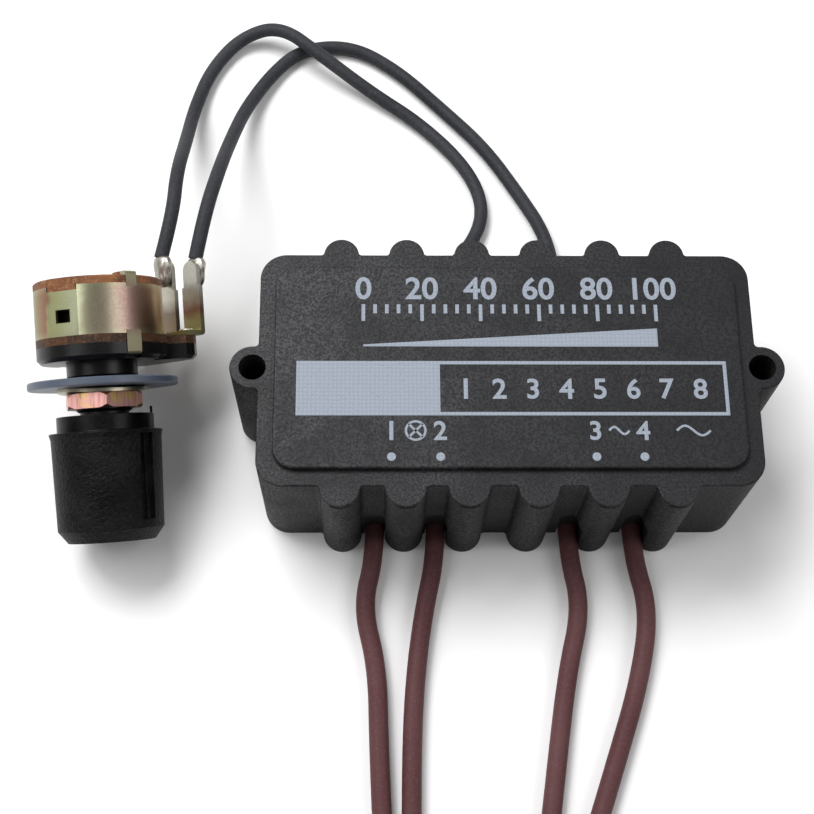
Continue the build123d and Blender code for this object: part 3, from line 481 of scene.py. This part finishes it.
def tinned_sheet(name, flux_stain_and_shade=None, board_stain_and_shade=None):
    """Tinned brass: pale grey metal, dull and scuffed; a riveted tag is stained by heat and flux near
    its board, and on the wiper's tag that darkening is partly painted shade."""
    f = Finish(name, Metallic=1.0)
    scuffs = f.add(NOISE, "Fac", {
        "Vector": f.place, "Scale": per_metre(0.3), "Detail": 4.0, "Roughness": 0.7})
    colour = f.add(MIX, MIXED, {FACTOR: scuffs, LOW: "#aca99f", HIGH: "#e2dfd5"}, data_type="RGBA")
    if flux_stain_and_shade:
        station = round_the_shaft(f)[1]
        warm = f.add(NOISE, "Fac", {"Vector": f.place, "Scale": per_metre(1.6), "Detail": 2.0})
        uneven = f.add(MATH, "Value", {
            0: warm, 1: STAIN_WANDER * MM, 2: station}, operation="MULTIPLY_ADD")
        # On the wiper's tag these darker tones are partly a stain and partly painted shade.
        for (start, end), stain_and_shade in ((FLUX_STAIN, flux_stain_and_shade), (BOARD_STAIN, board_stain_and_shade)):
            stain_and_shade_mask = f.add(RANGE, "Result", {
                "Value": uneven, "From Min": start * MM, "From Max": end * MM})
            colour = f.add(MIX, MIXED, {FACTOR: stain_and_shade_mask, LOW: colour, HIGH: stain_and_shade}, data_type="RGBA")
    roughness = f.add(RANGE, "Result", {
        "Value": scuffs, "From Min": 0.3, "From Max": 0.7, "To Min": 0.3, "To Max": 0.46})
    bumps = f.add(BUMP, "Normal", {"Height": scuffs, "Distance": 0.015 * MM, "Strength": 0.35})
    return f.cover(Base_Color=colour, Roughness=roughness, Normal=bumps)


def set_solder():
    """Tin-lead solder as it froze: bright, with a slightly frosted skin."""
    f = Finish("set_solder", Metallic=1.0)
    skin = f.add(NOISE, "Fac", {"Vector": f.place, "Scale": per_metre(0.7), "Detail": 2.0})
    colour = f.add(MIX, MIXED, {FACTOR: skin, LOW: "#96928a", HIGH: "#bdb8af"}, data_type="RGBA")
    roughness = f.add(RANGE, "Result", {
        "Value": skin, "From Min": 0.3, "From Max": 0.7, "To Min": 0.34, "To Max": 0.48})
    bumps = f.add(BUMP, "Normal", {"Height": skin, "Distance": 0.03 * MM, "Strength": 0.3})
    return f.cover(Base_Color=colour, Roughness=roughness, Normal=bumps)


def drawn_metal(name, dark, light, roughness, line=0.12):
    """Bare drawn, rolled or tumbled metal with fine marks."""
    f = Finish(name, Metallic=1.0, Roughness=roughness)
    marks = f.add(NOISE, "Fac", {
        "Vector": f.place, "Scale": per_metre(line), "Detail": 3.0, "Roughness": 0.6})
    colour = f.add(MIX, MIXED, {FACTOR: marks, LOW: dark, HIGH: light}, data_type="RGBA")
    bumps = f.add(BUMP, "Normal", {"Height": marks, "Distance": 0.01 * MM, "Strength": 0.3})
    return f.cover(Base_Color=colour, Normal=bumps)


def milky_nylon():
    """Natural nylon washer: milky blue-grey and smooth, with some of the light passing through it."""
    f = Finish(
        "milky_nylon", IOR=1.53, Roughness=0.42, Subsurface_Weight=0.25,
        Subsurface_Scale=0.6 * MM, Subsurface_Radius=(1.0, 1.0, 1.0))
    cloud = f.add(NOISE, "Fac", {"Vector": f.place, "Scale": per_metre(2.5), "Detail": 2.0})
    fine = f.add(NOISE, "Fac", {"Vector": f.place, "Scale": per_metre(0.4), "Detail": 2.0})
    colour = f.add(MIX, MIXED, {FACTOR: cloud, LOW: "#434b5a", HIGH: "#525b6b"}, data_type="RGBA")
    bumps = f.add(BUMP, "Normal", {"Height": fine, "Distance": 0.01 * MM, "Strength": 0.3})
    return f.cover(Base_Color=colour, Normal=bumps)


def leathery_skin(f, grain_size, dark, light):
    """The leathery grain that an etched mould leaves, and the two tones that it breaks the colour into."""
    grain = f.add(NOISE, "Fac", {
        "Vector": f.place, "Scale": per_metre(grain_size), "Detail": 3.0, "Distortion": 0.6})
    patches = f.add(NOISE, "Fac", {"Vector": f.place, "Scale": per_metre(4.0), "Detail": 2.0})
    mottle = f.add(MATH, "Value", {0: grain, 1: patches}, operation="MULTIPLY")
    shade = f.add(RANGE, "Result", {"Value": mottle, "From Min": 0.15, "From Max": 0.38})
    return grain, f.add(MIX, MIXED, {FACTOR: shade, LOW: dark, HIGH: light}, data_type="RGBA")


def satin_moulding(name, dark, light, roughness, grain_size, depth):
    """Black ABS or nylon from a lightly textured mould: a soft sheen over a leathery grain."""
    f = Finish(name, IOR=1.53, Roughness=roughness, Specular_IOR_Level=0.22)
    grain, colour = leathery_skin(f, grain_size, dark, light)
    bumps = f.add(BUMP, "Normal", {"Height": grain, "Distance": depth * MM, "Strength": 0.8})
    return f.cover(Base_Color=colour, Normal=bumps)


# Where the knob's smooth collar ends along the shaft, and the length over which the skirt's grain comes in
SKIRT_START = 18.5
SKIRT_EDGE = 0.3


def grained_knob():
    """Black ABS: the skirt has a fine leathery grain from its mould; the collar is smooth and shinier."""
    f = Finish("grained_knob", IOR=1.53, Specular_IOR_Level=0.11)
    station = round_the_shaft(f)[1]
    skirt = f.add(RANGE, "Result", {
        "Value": station, "From Min": SKIRT_START * MM, "From Max": (SKIRT_START + SKIRT_EDGE) * MM})
    grain, colour = leathery_skin(f, 0.4, "#030303", "#171717")
    roughness = f.add(RANGE, "Result", {"Value": skirt, "To Min": 0.3, "To Max": 0.46})
    height = f.add(MATH, "Value", {0: grain, 1: skirt}, operation="MULTIPLY")
    bumps = f.add(BUMP, "Normal", {"Height": height, "Distance": 0.22 * MM, "Strength": 0.9})
    return f.cover(Base_Color=colour, Roughness=roughness, Normal=bumps)


def lacquered_body(name, dark, light):
    """A dipped or lacquered component body: glossy, with a slightly uneven coat."""
    f = Finish(name, IOR=1.52, Roughness=0.25)
    coat = f.add(NOISE, "Fac", {"Vector": f.place, "Scale": per_metre(1.4), "Detail": 2.0})
    colour = f.add(MIX, MIXED, {FACTOR: coat, LOW: dark, HIGH: light}, data_type="RGBA")
    bumps = f.add(BUMP, "Normal", {"Height": coat, "Distance": 0.03 * MM, "Strength": 0.4})
    return f.cover(Base_Color=colour, Normal=bumps)


def pale_floor():
    """White matte board under the object."""
    f = Finish("pale_floor", Roughness=0.85, Specular_IOR_Level=0.2)
    cloud = f.add(NOISE, "Fac", {"Vector": f.place, "Scale": per_metre(18.0)})
    colour = f.add(MIX, MIXED, {FACTOR: cloud, LOW: "#f6f6f6", HIGH: "#fafafa"}, data_type="RGBA")
    return f.cover(Base_Color=colour)


def make_finishes():
    """The finish of each material slot, and some for single pieces."""
    return {
        "housing": moulded_nylon(),
        "ink": screen_ink(),
        "potting": poured_resin(),
        "lead_brown": vinyl_insulation("brown_vinyl", "#523133", "#5e3d3f", "#745658"),
        "lead_grey": vinyl_insulation("grey_vinyl", "#2b2c30", "#37393d", "#56585e"),
        "laminate_brown": phenolic_laminate("phenolic_cover", "#5a3420", "#84532f", "#a8794f"),
        "track_board": phenolic_laminate("phenolic_board", "#28170a", "#432810", "#6a4526"),
        "yellow_steel": chromated_band(),
        "nut_steel": chromated_nut(),
        "tinned": tinned_sheet("tinned_wire"),
        "stained_tag": tinned_sheet("stained_tag", "#a27263", "#c4c090"),
        # The wiper's tag: a brown stain that is partly painted shade.
        "stain_and_shade_tag": tinned_sheet("stain_and_shade_tag", "#83776c", "#8d7f6c"),
        "solder": set_solder(),
        "steel": drawn_metal("spring_steel", "#8c8675", "#bdb6a2", 0.34, 0.2),
        "washer_grey": milky_nylon(),
        "knob_black": grained_knob(),
        "shaft_black": satin_moulding("shaft_moulding", "#0a0a0a", "#131313", 0.4, 0.3, 0.02),
        "pot_black": satin_moulding("plate_moulding", "#0a0a0b", "#141415", 0.3, 0.6, 0.02),
        "rotor_dark": satin_moulding("rotor_moulding", "#17130f", "#2a231c", 0.5, 0.4, 0.02),
        "carbon": satin_moulding("carbon_ink", "#0b0b0c", "#161617", 0.5, 0.2, 0.01),
        "silvered": drawn_metal("silver_ink", "#b9b6ac", "#dedbd2", 0.4),
        "wiper_bronze": drawn_metal("spring_bronze", "#a9794a", "#cf9f68", 0.28),
        "copper": drawn_metal("bare_copper", "#b46a43", "#d98d63", 0.3),
        "laminate_green": lacquered_body("solder_resist", "#14330f", "#24521a"),
        "triac_black": satin_moulding("triac_epoxy", "#101010", "#1c1c1c", 0.5, 0.3, 0.02),
        "capacitor_yellow": lacquered_body("yellow_case", "#a87a0c", "#d29e1e"),
        "capacitor_red": lacquered_body("red_dip", "#5a150b", "#84231a"),
        "diac_blue": lacquered_body("blue_lacquer", "#163a78", "#2a59a5"),
        "resistor_beige": lacquered_body("beige_lacquer", "#a98a5c", "#cbb083"),
    }


# Nodes whose finish is their own and not that of their slot
OWN_FINISH = {
    "track_board": "track_board",
    "terminal_wiper": "stain_and_shade_tag",
    "terminal_track": "stained_tag",
    "terminal_spare": "stained_tag",
}


def dress_nodes(finishes):
    """Gives each CAD node its own finish or that of its slot."""
    for entry in frame["record"]["subparts"]:
        node = entry["node"]
        data = frame["nodes"][node].data
        data.materials.clear()
        data.materials.append(finishes[OWN_FINISH.get(node, entry["material_slot"])])


# Mesh tools


def new_piece(name, mesh, finish):
    """A new piece of the fixed body; the print has no slot in the record."""
    mesh.materials.clear()
    mesh.materials.append(finish)
    piece = bpy.data.objects.new(name, mesh)
    bpy.context.collection.objects.link(piece)
    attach(piece, "root")
    return piece


def millimetres(point):
    return Vector(point) * MM


def mesh_of(name, corners, faces, smooth):
    mesh = bpy.data.meshes.new(name)
    mesh.from_pydata(corners, [], faces)
    mesh.validate()
    for face in mesh.polygons:
        face.use_smooth = smooth
    return mesh


def tube_along(line, radius, sides):
    """Corners and faces of one closed tube along a line of points."""
    corners = []
    faces = []
    side = None
    for here, point in enumerate(line):
        ahead = line[min(here + 1, len(line) - 1)] - line[max(here - 1, 0)]
        ahead.normalize()
        if side is None:
            side = ahead.orthogonal()
        side = (side - ahead * side.dot(ahead)).normalized()
        across = ahead.cross(side)
        for step in range(sides):
            turn = 2 * math.pi * step / sides
            corners.append(point + (side * math.cos(turn) + across * math.sin(turn)) * radius)
    for ring in range(len(line) - 1):
        for step in range(sides):
            after = (step + 1) % sides
            low = ring * sides
            high = low + sides
            faces.append((low + step, low + after, high + after, high + step))
    last = (len(line) - 1) * sides
    faces.append(tuple(reversed(range(sides))))
    faces.append(tuple(range(last, last + sides)))
    return corners, faces


def twisted_strands(name, start, direction, length, diameter, lay):
    """A stranded conductor: one straight strand in the middle and a ring of strands laid round it."""
    steps = 40
    sides = 10
    # Three strands lie across the conductor.
    strand = diameter / 6
    side = direction.orthogonal().normalized()
    across = direction.cross(side)
    corners = []
    faces = []
    for number in range(STRANDS_IN_A_RING + 1):
        line = []
        for step in range(steps + 1):
            along = length * step / steps
            turn = 2 * math.pi * (number / STRANDS_IN_A_RING + along / lay)
            out = 0 if number == STRANDS_IN_A_RING else diameter / 2 - strand
            offset = (side * math.cos(turn) + across * math.sin(turn)) * out
            line.append(start + direction * along + offset)
        own_corners, own_faces = tube_along(line, strand, sides)
        faces += [tuple(corner + len(corners) for corner in face) for face in own_faces]
        corners += own_corners
    return mesh_of(name, corners, faces, True)


# Leads


def lead_curve(name, route, diameter, finish):
    """One smooth cord whose control points are the route's points."""
    curve = bpy.data.curves.new(name, "CURVE")
    curve.dimensions = "3D"
    curve.bevel_depth = diameter / 2 * MM
    curve.bevel_resolution = 7
    curve.resolution_u = 16
    curve.use_fill_caps = True
    spline = curve.splines.new("NURBS")
    spline.points.add(len(route) - 1)
    for point, place in zip(spline.points, route):
        point.co = (*millimetres(place), 1.0)
    spline.order_u = 3
    spline.use_endpoint_u = True
    curve.materials.append(finish)
    lead = bpy.data.objects.new(name, curve)
    bpy.context.collection.objects.link(lead)
    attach(lead, "root")
    return lead


def potentiometer_axes():
    dip = math.radians(POT_DIP)
    yaw = math.radians(POT_YAW)
    drop = math.radians(TERMINAL_DROP)
    along = Vector((math.sin(yaw) * math.cos(dip), -math.cos(yaw) * math.cos(dip), -math.sin(dip)))
    level = Vector((math.cos(yaw), math.sin(yaw), 0))
    terminals = level * math.cos(drop) - along.cross(level) * math.sin(drop)
    return terminals, along.cross(terminals), along


def at_potentiometer(depth, row, rear):
    """A point given on the potentiometer's own axes."""
    terminals, rows, along = potentiometer_axes()
    return millimetres(Vector(POT_REAR_CENTRE) + terminals * depth + rows * row + along * rear)


def make_control_leads(finishes):
    along = potentiometer_axes()[2]
    for name, route in CONTROL_ROUTES.items():
        end = at_potentiometer(*CONTROL_LEAD_ENDS[name])
        points = list(route) + [tuple(end / MM)]
        lead = lead_curve(
            "grey_" + name, points, CONTROL_LEAD_DIAMETER, finishes["lead_grey"])
        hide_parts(name)
        bare = twisted_strands(name + "_bare_end", end, along, SOLDER_LENGTH * MM,
                               BARE_CORE_DIAMETER * MM, STRAND_LAY / 2 * MM)
        new_piece(name + "_bare_end", bare, finishes["tinned"])
    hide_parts("control_lead_cores")


def make_power_leads(finishes):
    for name, route in POWER_ROUTES.items():
        end = millimetres(route[-1])
        direction = (end - millimetres(route[-2])).normalized()
        strands = twisted_strands(name + "_strands", end, direction, TINNED_LENGTH * MM,
                                  TINNED_DIAMETER * MM, STRAND_LAY * MM)
        tip = new_piece(name + "_strands", strands, finishes["tinned"])
        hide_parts(name + "_tip")
        lead = lead_curve(
            "brown_" + name, route, POWER_LEAD_DIAMETER, finishes["lead_brown"])
        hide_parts(name)


# Solder

# Radius of a drop's middle, how much it narrows towards the board and how uneven it is, in SOLDER_RADIUS
DROP_MIDDLE = 0.94
DROP_NARROWING = 0.24
DROP_UNEVENNESS = 0.08
# Its radii against the tongue, away from it and across it, in its own radius
DROP_AGAINST_TONGUE = 0.62
DROP_AWAY_FROM_TONGUE = 0.86
DROP_ACROSS_TONGUE = 1.3
# How far it goes past each end of the bared conductor, and the power that makes its profile blunt
DROP_OVERLAP = 0.25
DROP_BLUNTNESS = 3
# The wiper's drop sits a little to one side of its lead.
WIPER_DROP_ASIDE = 0.35


def solder_drop(name, lead, aside, outward, finishes):
    """A lump of solder round a lead's bare end: fuller towards the lead, thin where it wets the tongue."""
    terminals, rows, along = potentiometer_axes()
    depth, row, rear = CONTROL_LEAD_ENDS[lead]
    centre = at_potentiometer(depth, row + aside, rear + SOLDER_LENGTH / 2)
    shape = bmesh.new()
    bmesh.ops.create_icosphere(shape, subdivisions=5, radius=1.0)
    for corner in shape.verts:
        x, y, z = corner.co
        blunt = (1 - abs(z) ** DROP_BLUNTNESS) ** (1 / DROP_BLUNTNESS) / max(math.hypot(x, y), 0.001)
        x *= blunt
        y *= blunt
        uneven = DROP_UNEVENNESS * noise.noise(Vector((2 * x, 2 * y, 2 * z)))
        wide = SOLDER_RADIUS * (DROP_MIDDLE - DROP_NARROWING * z + uneven)
        flat = DROP_AGAINST_TONGUE if x * outward < 0 else DROP_AWAY_FROM_TONGUE
        corner.co = centre + MM * (
            terminals * (x * wide * flat)
            + rows * (y * wide * DROP_ACROSS_TONGUE)
            + along * (z * (SOLDER_LENGTH / 2 + DROP_OVERLAP)))
    mesh = bpy.data.meshes.new(name)
    shape.to_mesh(mesh)
    shape.free()
    for face in mesh.polygons:
        face.use_smooth = True
    return new_piece(name, mesh, finishes["solder"])


def make_solder(finishes):
    wiper = solder_drop("solder_drop_wiper", "control_lead_wiper", WIPER_DROP_ASIDE, -1, finishes)
    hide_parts("solder_joint_wiper")
    track = solder_drop("solder_drop_track", "control_lead_track", 0, 1, finishes)
    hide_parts("solder_joint_track")


# Print on the pad: a plain scale from 0 to 100 with ticks and a rising wedge, a bar with a blank field and
# plain numbers, and numbers and signs for the four power leads

# How far the ink stands above the pad, and how far its underside lies in it
INK_LIFT = 0.03
INK_SINK = 0.02
# How much bolder the digits are than the built-in typeface, as a share of its size
DIGIT_WEIGHT = 0.02
# Corners of a printed dot and of a printed ring
DOT_CORNERS = 32
RING_CORNERS = 40
WAVE_STEPS = 24


def ring_points(x, y, radius, corners):
    turns = [2 * math.pi * corner / corners for corner in range(corners)]
    return [(x + radius * math.cos(turn), y + radius * math.sin(turn)) for turn in turns]


def wave_points(left, y, width, height):
    """One full wave from the left, as points in millimetres."""
    parts = [step / WAVE_STEPS for step in range(WAVE_STEPS + 1)]
    return [(left + width * part, y + height / 2 * math.sin(2 * math.pi * part)) for part in parts]


class Print:
    """Collects flat shapes on the pad, each a thin plate of ink, and joins them into one mesh."""

    def __init__(self):
        self.corners = []
        self.faces = []

    def plate(self, outline):
        """One convex outline given as points in millimetres."""
        first = len(self.corners)
        count = len(outline)
        for height in (PAD_TOP - INK_SINK, PAD_TOP + INK_LIFT):
            self.corners += [millimetres((x, y, height)) for x, y in outline]
        self.faces.append(tuple(first + step for step in reversed(range(count))))
        self.faces.append(tuple(first + count + step for step in range(count)))
        for step in range(count):
            here = first + step
            after = first + (step + 1) % count
            self.faces.append((here, after, count + after, count + here))

    def bar(self, left, bottom, right, top):
        self.plate([(left, bottom), (right, bottom), (right, top), (left, top)])

    def dot(self, x, y, radius):
        self.plate(ring_points(x, y, radius, DOT_CORNERS))

    def stroke(self, points, width, closed=False):
        """A line of even width through the points, mitred at each."""
        count = len(points)
        edges = []
        for here in range(count):
            before = points[here - 1] if closed or here > 0 else points[here]
            after = points[(here + 1) % count] if closed or here < count - 1 else points[here]
            run = Vector((after[0] - before[0], after[1] - before[1])).normalized() * width / 2
            edges.append(((points[here][0] + run.y, points[here][1] - run.x),
                          (points[here][0] - run.y, points[here][1] + run.x)))
        for here in range(count if closed else count - 1):
            after = (here + 1) % count
            self.plate([edges[here][0], edges[after][0], edges[after][1], edges[here][1]])

    def number(self, text, middle, bottom, height):
        """Digits of a height, centred on a place, from the built-in typeface."""
        curve = bpy.data.curves.new("digits", "FONT")
        curve.body = text
        curve.offset = DIGIT_WEIGHT
        curve.resolution_u = 6
        # Any thickness gives the digits a top and an underside, which are then put at the ink's heights.
        curve.extrude = 0.01
        holder = bpy.data.objects.new("digits", curve)
        bpy.context.collection.objects.link(holder)
        drawn = holder.evaluated_get(bpy.context.evaluated_depsgraph_get())
        solid = bpy.data.meshes.new_from_object(drawn)
        xs = [corner.co.x for corner in solid.vertices]
        ys = [corner.co.y for corner in solid.vertices]
        scale = height / (max(ys) - min(ys))
        first = len(self.corners)
        for corner in solid.vertices:
            x = middle + (corner.co.x - (max(xs) + min(xs)) / 2) * scale
            y = bottom + (corner.co.y - min(ys)) * scale
            z = PAD_TOP + (INK_LIFT if corner.co.z > 0 else -INK_SINK)
            self.corners.append(millimetres((x, y, z)))
        self.faces += [tuple(first + corner for corner in face.vertices) for face in solid.polygons]
        bpy.data.objects.remove(holder)
        bpy.data.meshes.remove(solid)

    def piece(self, name, finishes):
        mesh = mesh_of(name, self.corners, self.faces, False)
        return new_piece(name, mesh, finishes["ink"])


# Heading, ticks and wedge, as places on the pad
SCALE_FROM = -17.4
SCALE_STEP = 7.1
SCALE_NUMBERS = ("0", "20", "40", "60", "80", "100")
TICKS_IN_A_STEP = 5
HEADING_BOTTOM = 8.55
HEADING_HEIGHT = 3.0
TICK_TOP = 7.9
LONG_TICK = 2.2
SHORT_TICK = 1.2
TICK_WIDTH = 0.44
WEDGE_BOTTOM = 2.35
WEDGE_HEIGHT = 2.4
WEDGE_TIP = 0.25


def print_scale(finishes):
    ink = Print()
    last = len(SCALE_NUMBERS) - 1
    for number, text in enumerate(SCALE_NUMBERS):
        ink.number(text, SCALE_FROM + SCALE_STEP * number, HEADING_BOTTOM, HEADING_HEIGHT)
    for tick in range(last * TICKS_IN_A_STEP + 1):
        x = SCALE_FROM + SCALE_STEP * tick / TICKS_IN_A_STEP
        length = SHORT_TICK if tick % TICKS_IN_A_STEP else LONG_TICK
        ink.bar(x - TICK_WIDTH / 2, TICK_TOP - length, x + TICK_WIDTH / 2, TICK_TOP)
    scale_to = SCALE_FROM + SCALE_STEP * last
    ink.plate([
        (SCALE_FROM, WEDGE_BOTTOM),
        (scale_to, WEDGE_BOTTOM),
        (scale_to, WEDGE_BOTTOM + WEDGE_HEIGHT),
        (SCALE_FROM, WEDGE_BOTTOM + WEDGE_TIP),
    ])
    ink.piece("pad_print_scale", finishes)


# Bar with a blank field
BAR_LEFT = -25.35
BAR_RIGHT = 26.1
BAR_BOTTOM = -6.5
BAR_TOP = 0.45
BAR_LINE = 0.43
FIELD_RIGHT = -8.25
BAR_NUMBERS = 8
BAR_NUMBERS_FROM = -5.2
BAR_NUMBER_STEP = 4.0
BAR_NUMBERS_BOTTOM = -4.4
BAR_NUMBERS_HEIGHT = 2.6


def print_bar(finishes):
    ink = Print()
    inner_right = BAR_RIGHT - BAR_LINE
    ink.bar(BAR_LEFT, BAR_BOTTOM, FIELD_RIGHT, BAR_TOP)
    ink.bar(FIELD_RIGHT, BAR_TOP - BAR_LINE, inner_right, BAR_TOP)
    ink.bar(FIELD_RIGHT, BAR_BOTTOM, inner_right, BAR_BOTTOM + BAR_LINE)
    ink.bar(inner_right, BAR_BOTTOM, BAR_RIGHT, BAR_TOP)
    for number in range(BAR_NUMBERS):
        middle = BAR_NUMBERS_FROM + BAR_NUMBER_STEP * number
        ink.number(str(number + 1), middle, BAR_NUMBERS_BOTTOM, BAR_NUMBERS_HEIGHT)
    ink.piece("pad_print_bar", finishes)


# Numbers of the four power leads above their dots, with a lamp sign and waves
DOT_PLACES = (-14.06, -8.31, 9.98, 15.61)
DOT_Y = -11.65
DOT_RADIUS = 0.52
LEAD_NUMBER_BOTTOM = -9.6
LEAD_NUMBER_HEIGHT = 2.4
SIGN_Y = -8.4
SIGN_LINE = 0.28
LAMP_X = -11.2
LAMP_RADIUS = 1.15
# Left end, width and height of each wave
WAVES = ((11.6, 2.4, 0.9), (19.6, 4.0, 1.2))


def print_terminals(finishes):
    ink = Print()
    for number, x in enumerate(DOT_PLACES):
        ink.dot(x, DOT_Y, DOT_RADIUS)
        ink.number(str(number + 1), x, LEAD_NUMBER_BOTTOM, LEAD_NUMBER_HEIGHT)
    ink.stroke(ring_points(LAMP_X, SIGN_Y, LAMP_RADIUS, RING_CORNERS), SIGN_LINE, closed=True)
    reach = LAMP_RADIUS * math.sqrt(0.5)
    for way in (1, -1):
        left = (LAMP_X - reach, SIGN_Y - reach * way)
        right = (LAMP_X + reach, SIGN_Y + reach * way)
        ink.stroke([left, right], SIGN_LINE)
    for left, width, height in WAVES:
        ink.stroke(wave_points(left, SIGN_Y, width, height), SIGN_LINE)
    ink.piece("pad_print_terminals", finishes)


# Floor and light

# The floor lies a hair below the module, so that the two don't share a plane.
FLOOR_HALF = 1500
FLOOR_BELOW = 0.02
# Name, place, size and watts of each soft box: the key behind on the left, one on each side
SOFT_BOXES = (
    ("key_box", (-260, 330, 620), (420, 340), 4.8),
    ("left_box", (-400, 20, 500), (360, 320), 1.0),
    ("right_box", (430, -40, 490), (380, 340), 1.0),
)
SOFT_BOX_AIM = (-10, 0, 0)
WORLD_STRENGTH = 0.29


def make_floor():
    half = FLOOR_HALF * MM
    corners = [(-half, -half, 0), (half, -half, 0), (half, half, 0), (-half, half, 0)]
    mesh = mesh_of("floor", corners, [(0, 1, 2, 3)], False)
    mesh.materials.append(pale_floor())
    floor = bpy.data.objects.new("floor", mesh)
    bpy.context.collection.objects.link(floor)
    floor.location.z = -FLOOR_BELOW * MM


def soft_box(name, place, size, watts):
    data = bpy.data.lights.new(name, "AREA")
    data.shape = "RECTANGLE"
    data.size, data.size_y = size[0] * MM, size[1] * MM
    data.energy = watts
    light = bpy.data.objects.new(name, data)
    light.location = millimetres(place)
    aim = millimetres(SOFT_BOX_AIM) - light.location
    light.rotation_euler = aim.to_track_quat("-Z", "Y").to_euler()
    bpy.context.collection.objects.link(light)


def make_light():
    scene = bpy.context.scene
    scene.view_settings.view_transform = "Standard"
    scene.view_settings.look = "None"
    world = bpy.data.worlds.new("studio")
    world.use_nodes = True
    background = world.node_tree.nodes["Background"]
    background.inputs["Color"].default_value = linear("#ffffff")
    background.inputs["Strength"].default_value = WORLD_STRENGTH
    scene.world = world
    for box in SOFT_BOXES:
        soft_box(*box)


def main():
    finishes = make_finishes()
    dress_nodes(finishes)
    make_camera()
    make_control_leads(finishes)
    make_power_leads(finishes)
    make_solder(finishes)
    print_scale(finishes)
    print_bar(finishes)
    print_terminals(finishes)
    make_floor()
    make_light()


main()
